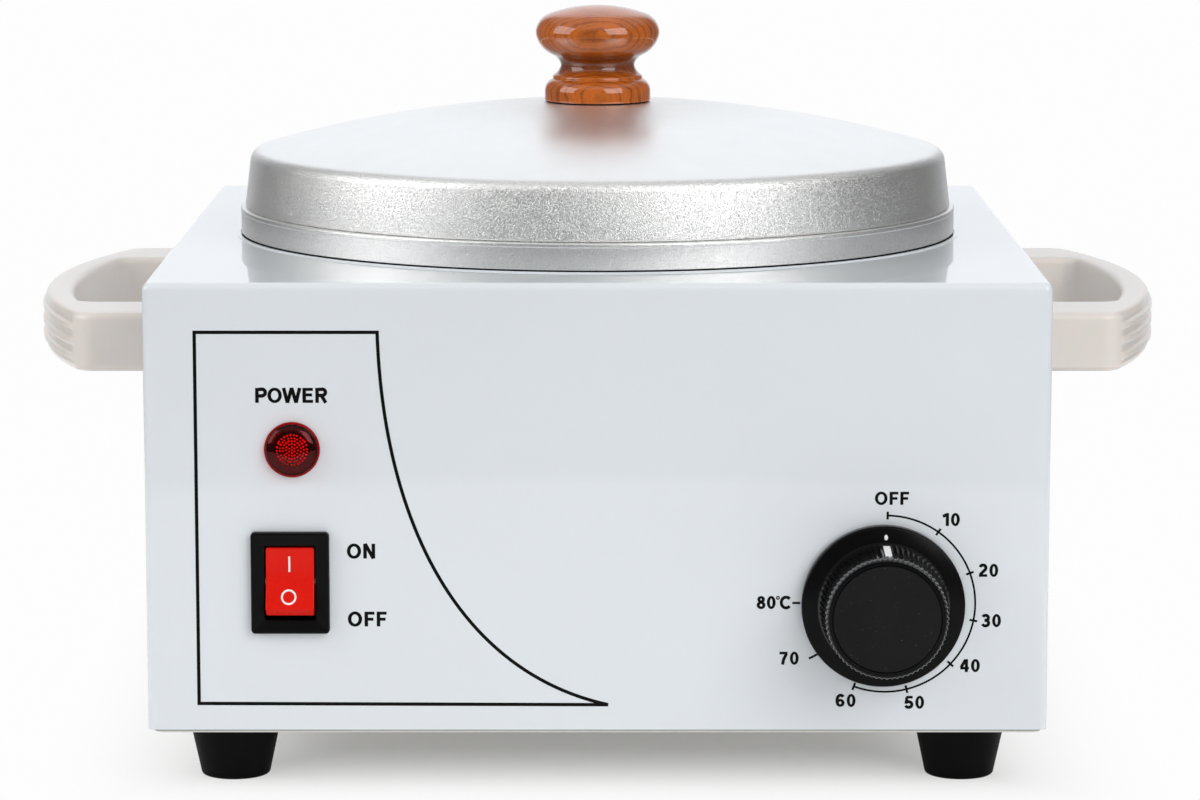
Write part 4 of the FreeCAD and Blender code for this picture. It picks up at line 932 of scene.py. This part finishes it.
class WAXWARMER_OT_handles(Builder, bpy.types.Operator):
    """Moulds the two D-handles with their grip ribs"""
    bl_idname = "wax_warmer.handles"
    bl_label = "Handles"

    wall_rows = 64
    # How far a rib takes to rise, and to fade out towards the arm
    rib_ramp = 0.35 * mm
    rib_fade = 1.4 * mm

    def outline(self, values, grow, opening):
        """Plan line of the handle's outside or of its opening, moved outwards by grow."""
        reach = values.reach - (values.grip if opening else 0) + grow
        half = values.half_depth - (values.arm if opening else 0) + grow
        corner = (values.inner_corner if opening else values.corner) + grow
        end = values.end_radius + grow
        hub = reach - end
        centre_x = hub + math.sqrt((end - corner) ** 2 - (half - corner) ** 2)
        lean = math.degrees(math.asin((half - corner) / (end - corner)))
        arm = [(centre_x * k / 10, -half) for k in range(10)]
        bend = arc((centre_x, corner - half), (corner, corner), -90, -lean, 24)
        bow = arc((hub, 0), (end, end), -lean, lean, 60)[1:-1]
        return arm + bend + bow + [(x, -y) for x, y in reversed(arm + bend)]

    def rib_share(self, values, height):
        """How much of a rib stands at a height above the middle of the handle."""
        share = 0
        for i in range(values.rib_count):
            centre = (i - (values.rib_count - 1) / 2) * values.rib_pitch
            away = abs(height - centre) - values.rib_width / 2
            share = max(share, min(1, max(0, 0.5 - away / self.rib_ramp / 2)))
        return share * share * (3 - 2 * share)

    def rounding(self, values, opening, level, inwards):
        """Rows round one long edge, from its face to its wall; inwards is 1 up or -1 down."""
        edge = values.edge
        grow = edge if opening else -edge
        angles = [math.radians(90 * k / 8) for k in range(9)]
        return [(self.outline(values, grow * (1 - math.sin(a)), opening),
                 level + inwards * edge * (1 - math.cos(a))) for a in angles]

    def wall(self, values, low, high):
        """Rows of the outside between its long edges, with the ribs."""
        plain, proud = (self.outline(values, grow, False) for grow in (0, values.rib_height))
        start = values.reach - values.rib_setback
        fades = [min(1, max(0, (x - start) / self.rib_fade)) for x, _ in plain]
        rows = []
        for k in range(1, self.wall_rows):
            z = low + values.edge + (high - low - 2 * values.edge) * k / self.wall_rows
            share = self.rib_share(values, z - (low + high) / 2)
            rows.append(([tuple(p + (q - p) * fade * share for p, q in zip(*pair))
                          for *pair, fade in zip(plain, proud, fades)], z))
        return rows

    def build(self, settings):
        values = settings.handles
        low, high = handle_low.z, handle_high.z
        rows = [*self.rounding(values, False, low, 1), *self.wall(values, low, high),
                *reversed(self.rounding(values, False, high, -1)), *self.rounding(values, True, high, -1),
                *reversed(self.rounding(values, True, low, 1))]
        for side, node in ((1, "handle_right"), (-1, "handle_left")):
            loops = [[Vector((side * (case_high.x + x), middle_y + y, z)) for x, y in line]
                     for line, z in rows]
            points, faces = skin(loops, ring=False, wrap=True)
            count = len(loops[0])
            faces.append(tuple(range(0, len(points), count)))
            faces.append(tuple(range(len(points) - 1, 0, -count)))
            even_normals(piece(node.replace("handle", "grip_handle"), [(points, faces)], "base",
                               "handle_plastic", [node]))


class WAXWARMER_OT_pot(Builder, bpy.types.Operator):
    """Spins the pot with its turned-down rim"""
    bl_idname = "wax_warmer.pot"
    bl_label = "Pot"

    # Roundings of the rim's lower edge, inside and outside
    rim_foot = (0.2 * mm, 0.25 * mm)
    # The proud top edge: its lower and upper end below the rim's top, and their rounding
    bead_low, bead_high, bead_round = 1.3 * mm, 1.1 * mm, 0.3 * mm

    def build(self, settings):
        values = settings.pot
        wall, rim, rim_top = values.wall, pot_high.x, lid_low.z
        rim_bottom = case_high.z + values.rim_gap
        cup, lip, flare = rim - values.rim_width, rim - values.lip_inset, rim_top - values.flare
        inside, side = rim - wall, rim - values.rim_bead
        section = rounded([
            (0, pot_low.z), (cup, pot_low.z, values.cup_corner), (cup, flare - wall, wall),
            (lip - wall / 2, rim_top - wall, wall / 2), (inside, rim_top - wall, wall / 6),
            (inside, rim_bottom, self.rim_foot[0]), (side, rim_bottom, self.rim_foot[1]),
            (side, rim_top - self.bead_low, self.bead_round),
            (rim, rim_top - self.bead_high, self.bead_round), (rim, rim_top, values.rim_edge),
            (lip, rim_top, wall / 4), (lip, pot_high.z, wall / 3), (lip - wall, pot_high.z, wall / 3),
            (lip - wall, rim_top, wall), (cup - wall, flare, wall),
            (cup - wall, pot_low.z + wall, values.cup_corner - wall), (0, pot_low.z + wall)])
        made = piece("spun_pot", [turned(section, upright)], "pot", "pot_aluminium", ["wax_pot"], sharp=60)
        made.data.materials.append(finish(spun_aluminium, values.metal))
        for face in made.data.polygons:
            if math.hypot(face.center.x, face.center.y - middle_y) < lip - wall * 0.8:
                face.material_index = 1


class WAXWARMER_OT_seals(Builder, bpy.types.Operator):
    """Lays dark strips as painted shadow in the gaps under the pot's rim and along the base plate, and the
    enamelled bead round the rim
    """
    bl_idname = "wax_warmer.seals"
    bl_label = "Seals"

    # Dark strip of painted shadow in the gap under the rim: inside the rim's edge, its height, and the gap to
    # the heating well
    rim_inset = 0.2 * mm
    rim_height = 0.62 * mm
    seal_gap = 0.1 * mm
    # Painted bead round the rim
    collar_gap = 0.05 * mm
    collar_width = 1.2 * mm
    collar_height = 0.34 * mm
    # Dark strip of painted shadow in the gap along the top of the base plate: how far it stands out and
    # reaches in
    base_corner = 1.2 * mm
    base_proud = 0.06 * mm
    base_width = 1.0 * mm
    base_height = 0.5 * mm

    def build(self, settings):
        deck = case_high.z
        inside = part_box("heater_well")[1].x + self.seal_gap
        outside, top = pot_high.x - self.rim_inset, deck + self.rim_height
        section = [(inside, deck), (outside, deck), (outside, top), (inside, top)]
        # A dark ring in the gap under the rim, as painted shadow
        piece("rim_seal", [turned(section, upright, wrap=True)], "base", "foot_rubber")
        inside = pot_high.x + self.collar_gap
        outside, top, edge = inside + self.collar_width, deck + self.collar_height, self.collar_height / 2
        section = rounded([(inside, deck), (outside, deck), (outside, top, edge), (inside, top, edge)])
        piece("case_collar", [turned(section, upright, wrap=True)], "base", "case_paint")
        low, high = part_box("base_plate")
        # A dark band along the plate's top edge, as painted shadow in the gap under the case
        loops = [rounded_rectangle(high.x - low.x + grow, high.y - low.y + grow, self.base_corner)
                 for grow in (2 * self.base_proud, -2 * self.base_width)]
        piece("base_seal", [flat_ring(*loops, lambda u, v, w: upright(u, v, high.z - w), self.base_height)],
              "base", "foot_rubber")


class WAXWARMER_OT_lid(Builder, bpy.types.Operator):
    """Presses the domed lid with its skirt"""
    bl_idname = "wax_warmer.lid"
    bl_label = "Lid"

    def surface(self, values, sheet):
        """Profile from the skirt's edge to the axis, under the outer surface by sheet."""
        radius = lid_high.x - sheet
        edge = lid_low.z + values.skirt_height - sheet
        top = dome(radius - values.taper, edge, lid_high.z - sheet)
        return [(radius, lid_low.z), (*top[0], values.shoulder - sheet), *top[3:]]

    def build(self, settings):
        values = settings.pot
        outside = self.surface(values, 0)
        outside[0] = (*outside[0], values.bead)
        inside = list(reversed(self.surface(values, values.wall)))
        inside[-1] = (*inside[-1], values.bead)
        section = rounded(inside + outside)
        piece("pressed_lid", [turned(section, upright)], "lid", "lid_aluminium", ["lid"], sharp=60)


class WAXWARMER_OT_lid_knob(Builder, bpy.types.Operator):
    """Turns the wooden knob of the lid"""
    bl_idname = "wax_warmer.lid_knob"
    bl_label = "Lid knob"

    # All in mm. Turns: radius, height above the foot, and how far the line up to there is bowed
    # towards the axis
    turns = ((15.3, 2.6, 0.001), (12.9, 6.0, -0.62), (12.6, 7.1, -0.2), (10.6, 9.9, 0.35),
             (12.9, 12.75, 0.4), (18.0, 19.3, -1.15), (13.3, 24.9, -1.15))
    foot = 15.3
    lip = 0.35
    crown_rise = 0.4
    smoothings = 1
    segments = 160

    def build(self, settings):
        height = (wood_high.z - wood_low.z) / mm + self.crown_rise
        line = [Vector((0, 0)), Vector((self.foot - self.lip, 0)), Vector((self.foot - self.lip, -self.lip)),
                Vector((self.foot, -self.lip))]
        for radius, rise, bow in self.turns:
            line += bowed(line[-1], Vector((radius, rise)), bow)
        line += [Vector(point) for point in dome(line[-1].x, line[-1].y, height)[1:]]
        for _ in range(self.smoothings):
            inner = [(a + 2 * b + c) / 4 for a, b, c in zip(line, line[1:], line[2:])]
            line = [line[0], *inner, line[-1]]
        section = [(0, wood_low.z)] + [(r * mm, wood_low.z + h * mm) for r, h in line]
        piece("wooden_knob", [turned(section, upright, self.segments)], "lid", "knob_wood", ["lid_knob"],
              sharp=50)


class WAXWARMER_OT_pilot_lamp(Builder, bpy.types.Operator):
    """Makes the pilot lamp's lens, its rim and the beaded disc behind it"""
    bl_idname = "wax_warmer.pilot_lamp"
    bl_label = "Pilot lamp"

    rim_width, rim_height, rim_edge = 0.55 * mm, 0.9 * mm, (0.25 * mm, 0.1 * mm)
    lens_inset = 0.3 * mm
    # Disc under the beads: gap to the rim, edge, foot and width of the step, level and its rounding
    disc_gap, disc_edge = 0.02 * mm, 0.3 * mm
    step_foot, step_width = 0.35 * mm, 0.4 * mm
    bead_level, level_edge = 1.0 * mm, 0.2 * mm
    # Beads: share of a full ring, shift of each in radians and in mm, and how much their sizes differ
    crowding, jitter, spread = 0.93, 0.05, 0.15
    segments = 96

    def build(self, settings):
        values = settings.lamp
        radius, height = round_fitting("pilot_lamp_lens")
        place = on_front("pilot_lamp_lens")

        def bulged(reach, rise):
            """Line from the edge to the axis, flat in the middle and steep at the edge."""
            shares = [math.sin(math.pi / 2 * (1 - k / 32)) for k in range(33)]
            return [(reach * s, rise * (1 - s ** values.bulge) ** (1 / values.bulge)) for s in shares]

        section = [*reversed(bulged(radius - values.wall - self.lens_inset, height - values.wall)),
                   *bulged(radius - self.lens_inset, height)]
        piece("lamp_lens", [turned(section, place, self.segments)], "base", "pilot_red", ["pilot_lamp_lens"])
        # The rim's bright red stands partly for light caught in the lens's edge: painted light
        hollow = radius - self.rim_width
        rim = rounded([(hollow, 0), (radius, 0), (radius, self.rim_height, self.rim_edge[0]),
                       (hollow, self.rim_height, self.rim_edge[1])])
        piece("lamp_rim", [turned(rim, place, self.segments, wrap=True)], "base", "pilot_red",
              look=finish(gloss_moulding, values.rim, 0.12))
        field, reach, level = values.bead_field, hollow - self.disc_gap, self.bead_level
        disc = rounded([(0, 0), (reach, 0), (reach, self.disc_edge),
                        (field + self.step_width, self.step_foot), (field, level, self.level_edge),
                        (0, level)])
        piece("lamp_back", [turned(disc, place, self.segments)], "base", "black_plastic",
              look=finish(gloss_moulding, values.back, 0.12))
        piece("lamp_beads", self.beads(values, place), "base", "pilot_red",
              look=finish(lamp_beads, values.beads))

    def beads(self, values, place):
        chance = random.Random(seed)
        shells = []
        for ring in range(int((values.bead_field - values.bead_radius) / values.bead_pitch) + 1):
            count = max(1, round(2 * math.pi * ring * self.crowding))
            for i in range(count):
                angle = 2 * math.pi * (i + 0.5 * (ring % 2)) / count
                angle += chance.uniform(-self.jitter, self.jitter)
                reach = ring * values.bead_pitch + chance.uniform(-self.jitter, self.jitter) * mm
                size = values.bead_radius * chance.uniform(1 - self.spread, 1 + self.spread)
                shells.append(self.bead(place, reach * math.cos(angle), reach * math.sin(angle), size))
        return shells

    def bead(self, place, x, y, size):
        return turned(arc((0, 0), (size, size), 0, 90, 3),
                      lambda u, v, w: place(x + u, y + v, self.bead_level + w), 10)


class WAXWARMER_OT_switch(Builder, bpy.types.Operator):
    """Moulds the switch's bezel and its red rocker with the I and the O"""
    bl_idname = "wax_warmer.switch"
    bl_label = "Switch"

    # Body behind the panel: depth, how much narrower and lower than the bezel, and corner
    body_depth, body_narrower, body_lower, body_corner = 19.0 * mm, 2.2 * mm, 2.7 * mm, 0.6 * mm
    cavity_depth = 6.3 * mm
    corner = 1.1 * mm
    # Lip of the opening: width, drop and corner
    lip_width, lip_drop, lip_corner = 0.5 * mm, 0.25 * mm, 0.3 * mm
    # The rocker's side view from its pivot: an end, up and out, and the roundings of the upper and
    # the lower end and tip; then the corners of its back, up, out and rounding
    end, end_edges = (9.3 * mm, 2.4 * mm), (0.8 * mm, 1.2 * mm)
    tip_edges = (0.45 * mm, 0.7 * mm)
    back = [(3.0 * mm, -3.2 * mm, 0.5 * mm), (8.0 * mm, -1.2 * mm, 0.5 * mm)]
    # Rounding of the rocker's sides, and the size of the side view that it is taken from
    round_edge, round_reach = 0.5 * mm, 8 * mm
    # Print: thickness and how far the I and the O stand to the left
    ink, on_shift, off_shift = 0.04 * mm, 0.15 * mm, 0.3 * mm

    def build(self, settings):
        values = settings.switch
        low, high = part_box("switch_housing")
        width, height = high.x - low.x, high.z - low.z
        place = on_front("switch_housing")
        face, bevel, corner = values.bezel_height, values.bevel, self.corner
        opening, sunk = (values.opening_width, values.opening_height), face - values.bezel_slope
        body = (width - self.body_narrower, height - self.body_lower, self.body_corner)
        levels = [(*body, -self.body_depth), (*body, 0),
                  (width, height, corner, 0), (width, height, corner, face - bevel * 0.8),
                  (width - bevel * 0.5, height - bevel * 0.5, corner * 0.8, face - bevel * 0.2),
                  (width - 2 * bevel, height - 2 * bevel, corner * 0.6, face),
                  (*(side + self.lip_width for side in opening), self.lip_width, sunk),
                  (*opening, self.lip_corner, sunk - self.lip_drop),
                  (*opening, self.lip_corner, -self.cavity_depth)]
        loops = [[place(x, y, out) for x, y in rounded_rectangle(wide, tall, radius)]
                 for wide, tall, radius, out in levels]
        piece("switch_bezel", [skin(loops)], "base", "black_plastic", ["switch_housing"],
              finish(black_moulding, values.black, 0.3, 0.0), sharp=18)
        self.build_rocker(values, place)

    def side_line(self, values):
        """Side view of the level rocker: up and out from its pivot."""
        tip_level = values.valley + (values.tip - values.valley) * values.tip_rise / values.tip_drop
        ends = [(*self.end, self.end_edges[0]), (values.tip_rise, tip_level, self.tip_edges[0])]
        chin = [(-values.tip_drop, values.tip, self.tip_edges[1]),
                (-self.end[0], self.end[1], self.end_edges[1])]
        under = [(-up, *rest) for up, *rest in reversed(self.back)]
        return rounded([*self.back, *ends, (0, values.valley, values.valley_radius), *chin, *under], 12)

    def build_rocker(self, values, place):
        lean = values.tilt

        def tipped(across, up, out):
            turned_up = up * math.cos(lean) + out * math.sin(lean)
            turned_out = out * math.cos(lean) - up * math.sin(lean)
            return place(across, turned_up, turned_out - values.pivot_depth)

        line = self.side_line(values)
        centre = sum(line, Vector((0, 0))) / len(line)
        half = values.opening_width / 2 - values.side_gap
        edge = self.round_edge
        stations = [(-half + edge * (1 - math.cos(a)), 1 - edge * (1 - math.sin(a)) / self.round_reach)
                    for a in map(math.radians, (0, 22, 45, 68, 90))]
        stations += [(-across, share) for across, share in reversed(stations)]
        loops = [[tipped(across, *(centre + (point - centre) * share)) for point in line]
                 for across, share in stations]
        even_normals(piece("red_rocker", [skin(loops)], "rocker", "rocker_red", ["switch_rocker"], sharp=60))
        front = sorted((point for point in line if point.y > self.end[1]), key=lambda point: point.x)

        def on_rocker(u, v, w):
            """Place on the rocker's face: u across, v up from its middle, w out."""
            for first, second in zip(front, front[1:]):
                if first.x <= v <= second.x:
                    share = (v - first.x) / max(second.x - first.x, 1e-9)
                    return tipped(u, v, first.y + (second.y - first.y) * share + w)
            raise ValueError("a mark reaches past the rocker's face")

        reach = values.mark_length / 2
        radius = reach - values.mark_line / 2
        marks = {"on": [(-self.on_shift, values.on_place + reach * (k / 4 - 1)) for k in range(9)],
                 "off": arc((-self.off_shift, -values.off_place), (radius, radius), 0, 360, 48)[:-1]}
        for name, line in marks.items():
            shell = stroke(line, values.mark_line, on_rocker, self.ink, closed=name == "off")
            piece("rocker_mark_" + name, [shell], "rocker", "white_mark",
                  look=finish(printed_ink, values.mark))


class WAXWARMER_OT_control_knob(Builder, bpy.types.Operator):
    """Moulds the thermostat knob: skirt, fluted grip, cap and pointer"""
    bl_idname = "wax_warmer.control_knob"
    bl_label = "Thermostat knob"

    steps_per_flute = 8
    flute_shape = 0.7
    cap_segments = 192
    bore = 3.2 * mm
    # Back of the skirt: gap to the panel and chamfer
    gap, back_chamfer = 1.0 * mm, (0.3 * mm, 0.4 * mm)
    # Fillet between the skirt and the grip, and the roll of the grip's front edge
    fillet, fillet_drop, roll = 0.12 * mm, 0.02 * mm, 0.12 * mm
    # Recess of the cap: depth, bevel, play under the cap and rounding of the cap
    groove_depth, groove_bevel, cap_play, cap_edge = 0.8 * mm, 0.15 * mm, 0.1 * mm, 0.12 * mm
    # Pointer: width, thickness, how far it stands out, and its ends as shares of the grip
    pointer_width, pointer_depth, pointer_lift = 1.75 * mm, 0.6 * mm, 0.06 * mm
    pointer_span = (0.14, 0.84)
    dot_reach, dot_radii, dot_levels = 18.85 * mm, (0.47 * mm, 0.70 * mm), (-0.3 * mm, 0.03 * mm)
    mark_turn = 1.4

    def build(self, settings):
        values = settings.dial
        radius, front = round_fitting("control_knob")
        place = on_front("control_knob")
        chamfer, floor, back = values.chamfer, front - self.groove_depth, self.gap + self.back_chamfer[1]
        edge = rounded([(radius, back), (radius, values.skirt_height, values.skirt_edge),
                        (values.grip_base, values.grip_start)])
        recess = values.cap_radius + values.cap_gap
        # Radius, height and how deep the flutes are there
        rows = [(self.bore, self.gap, 0), (radius - self.back_chamfer[0], self.gap, 0), (radius, back, 0),
                *((*point, 0) for point in edge[1:-1]),
                (values.grip_base + self.fillet, values.grip_start - self.fillet_drop, 0),
                *((*self.on_grip(values, front, k / 8), 1) for k in range(9)),
                (values.grip_front - self.roll, front - chamfer * 0.55, 1),
                (values.grip_front - chamfer * 0.6, front - chamfer * 0.12, 0.45),
                (values.grip_front - chamfer, front, 0),
                (recess + self.groove_bevel, front, 0), (recess, front - self.groove_bevel, 0),
                (recess, floor, 0), (self.bore, floor, 0)]
        count = values.flutes * self.steps_per_flute
        angles = [2 * math.pi * i / count for i in range(count)]
        grooves = [(0.5 - 0.5 * math.cos(a * values.flutes)) ** self.flute_shape for a in angles]
        loops = []
        for reach, out, share in rows:
            radii = [reach - share * values.flute_depth * groove for groove in grooves]
            loops.append([place(r * math.sin(a), r * math.cos(a), out) for r, a in zip(radii, angles)])
        piece("fluted_knob", [skin(loops, wrap=True)], "knob", "black_plastic", ["control_knob"],
              finish(black_moulding, values.black, 0.16, 0.0), sharp=40)
        floor -= self.cap_play
        cap = rounded([(0, floor), (values.cap_radius, floor), (values.cap_radius, front, self.cap_edge),
                       (0, front)])
        piece("knob_cap", [turned(cap, place, self.cap_segments)], "knob", "black_plastic",
              ["control_knob_cap"], finish(black_moulding, values.cap, 0.5, 0.35))
        self.build_marks(values, place, front, radius)

    def on_grip(self, values, front, share):
        """Radius and height at a share of the way up the grip."""
        return (values.grip_base + (values.grip_front - values.grip_base) * share,
                values.grip_start + (front - values.chamfer - values.grip_start) * share)

    def build_marks(self, values, on_axis, front, low_radius):
        lean = math.radians(self.mark_turn)

        def place(u, v, out):
            return on_axis(u * math.cos(lean) + v * math.sin(lean),
                           v * math.cos(lean) - u * math.sin(lean), out)

        half = self.pointer_width / 2
        low, high = self.pointer_span
        loops = []
        for k in range(7):
            reach, out = self.on_grip(values, front, low + (high - low) * k / 6)
            outside, inside = reach + self.pointer_lift, reach + self.pointer_lift - self.pointer_depth
            loops.append([place(u, v, out) for u, v in
                          ((-half, outside), (half, outside), (half, inside), (-half, inside))])
        slope = (values.grip_start - values.skirt_height) / (low_radius - values.grip_base)
        dot_out = values.skirt_height + slope * (low_radius - self.dot_reach)
        dot = arc((0, 0), self.dot_radii, 0, 360, 24)[:-1]
        disc = [[place(u, self.dot_reach + v, dot_out - slope * v + lift) for u, v in dot]
                for lift in self.dot_levels]
        piece("knob_pointer", [skin(loops), skin(disc)], "knob", "white_mark", ["control_knob_pointer"])


class WAXWARMER_OT_stage(Builder, bpy.types.Operator):
    """Sets the floor, the lamps, the world and the camera"""
    bl_idname = "wax_warmer.stage"
    bl_label = "Stage"

    floor_radius = 0.62
    # White of the backdrop, and the cooler one that metal shows
    white, cool_white = (0.985, 0.985, 0.985), (0.95, 0.98, 1.02)
    # The floor's own shadow shows within this distance of the middle; outside it fades to white
    shadow_half, shadow_fade, shadow_white = 0.095, (-0.03, 0.06), 0.22
    # Between these two places, in front of the middle and behind it, the floor turns white in metal
    mirrored = (-0.15, 0.1)
    # Where parts of the world fade, by direction: the backdrop's sides, its top and the ceiling
    behind, backdrop_top, ceiling = (0.86, 0.97), (0.75, 0.93), (0.45, 0.75)
    # Azimuth from the camera's side to the right and elevation in degrees, and size
    softboxes = {"right": (38, 27, 1.0), "left": (-72, 26, 1.0), "fill": (0, 3, 1.2)}
    softbox_distance = 1.5
    softbox_aim = Vector((0, 0, 0.1))

    def build(self, settings):
        values = settings.stage
        scene = bpy.context.scene
        scene.view_settings.view_transform = "Standard"
        self.build_floor()
        self.build_world(values)
        for name, row in self.softboxes.items():
            self.softbox(name, *row, getattr(values, name + "_lamp"))
        camera = added("camera", bpy.data.cameras.new("camera"))
        camera.location = values.camera_place
        camera.rotation_euler = (math.pi / 2 - values.camera_pitch, 0, 0)
        camera.data.lens = values.focal_length
        camera.data.sensor_width = 36
        camera.data.clip_end = 100
        scene.camera = camera

    def build_floor(self):
        tree = Finish("studio_floor")
        tree.set({"Base Color": tree.mix(srgb(247, 247, 247), srgb(250, 250, 250), tree.noise(400)),
                  "Roughness": 0.9, "Specular IOR Level": 0.0})
        x, y, _ = tree.parts(tree.position())
        outside = ((x * x) ** 0.5).most((y * y) ** 0.5)
        fade = (outside - self.shadow_half).step(*self.shadow_fade)
        away = self.shadow_white + (1 - self.shadow_white) * fade
        camera, glossy, through = tree.rays("Camera", "Glossy", "Transmission")
        seen = camera + through + glossy * y.step(*self.mirrored)
        plain = tree.out("ShaderNodeEmission", None, {"Color": self.white, "Strength": 1.0})
        tree.blend_surface(away * seen, tree.surface.outputs["BSDF"], plain)
        mesh = bpy.data.meshes.new("studio_floor")
        work = bmesh.new()
        bmesh.ops.create_circle(work, cap_ends=True, segments=96, radius=self.floor_radius)
        work.to_mesh(mesh)
        work.free()
        mesh.materials.append(tree.material)
        floor = added("studio_floor", mesh)

    def build_world(self, values):
        world = bpy.data.worlds.new("studio")
        world.use_nodes = True
        bpy.context.scene.world = world
        tree = Tree(world.node_tree)
        x, y, z = tree.parts(tree.out("ShaderNodeTexCoord", name="Generated"))
        backdrop = (y / ((x * x + y * y) ** 0.5)).step(*self.behind) * (1 - z.step(*self.backdrop_top))
        room = values.front_light + z.step(*self.ceiling) * (values.ceiling_light - values.front_light)
        room = room * (1 - backdrop) + backdrop * values.back_light
        camera, through = tree.rays("Camera", "Transmission")
        seen = camera + through
        background = tree.tree.nodes["Background"].inputs
        tree.feed(background["Color"], tree.mix(self.white, self.cool_white, backdrop * (1 - seen)))
        tree.feed(background["Strength"], room * (1 - seen) + seen)

    def softbox(self, name, azimuth, elevation, size, radiance):
        """Panel that faces the object."""
        lamp = bpy.data.lights.new(name + "_softbox", "AREA")
        lamp.size = size
        lamp.energy = radiance * math.pi * size * size
        made = added(lamp.name, lamp)
        a, e = math.radians(azimuth), math.radians(elevation)
        way = Vector((math.sin(a) * math.cos(e), -math.cos(a) * math.cos(e), math.sin(e)))
        made.location = way * self.softbox_distance + self.softbox_aim
        made.rotation_euler = way.to_track_quat("Z", "Y").to_euler()
        made.visible_camera = False
        made.visible_glossy = name != "fill"


operators = (WAXWARMER_OT_stage, WAXWARMER_OT_carried_nodes, WAXWARMER_OT_panel_print,
             WAXWARMER_OT_handles, WAXWARMER_OT_pot, WAXWARMER_OT_seals, WAXWARMER_OT_lid,
             WAXWARMER_OT_lid_knob, WAXWARMER_OT_pilot_lamp, WAXWARMER_OT_switch, WAXWARMER_OT_control_knob)
groups = (CaseSettings, PrintSettings, HandleSettings, PotSettings, WoodSettings, LampSettings,
          SwitchSettings, DialSettings, StageSettings, WarmerSettings)


class WAXWARMER_PT_pieces(bpy.types.Panel):
    """Lists the operators and the settings of the wax warmer"""
    bl_idname = "WAXWARMER_PT_pieces"
    bl_label = "Wax Warmer"
    bl_space_type = "VIEW_3D"
    bl_region_type = "UI"
    bl_category = "Wax Warmer"

    def draw(self, context):
        column = self.layout.column()
        for operator in operators:
            column.operator(operator.bl_idname)
        settings = context.scene.wax_warmer
        for group in WarmerSettings.__annotations__:
            box = self.layout.box()
            box.label(text=group.capitalize())
            for name in getattr(settings, group).__annotations__:
                box.prop(getattr(settings, group), name)


def register():
    for made in (*groups, *operators, WAXWARMER_PT_pieces):
        bpy.utils.register_class(made)
    bpy.types.Scene.wax_warmer = PointerProperty(type=WarmerSettings)


def unregister():
    del bpy.types.Scene.wax_warmer
    for made in (WAXWARMER_PT_pieces, *reversed(operators), *reversed(groups)):
        bpy.utils.unregister_class(made)


def main():
    register()
    for operator in operators:
        family, name = operator.bl_idname.split(".")
        getattr(getattr(bpy.ops, family), name)()


if __name__ == "__main__":
    main()
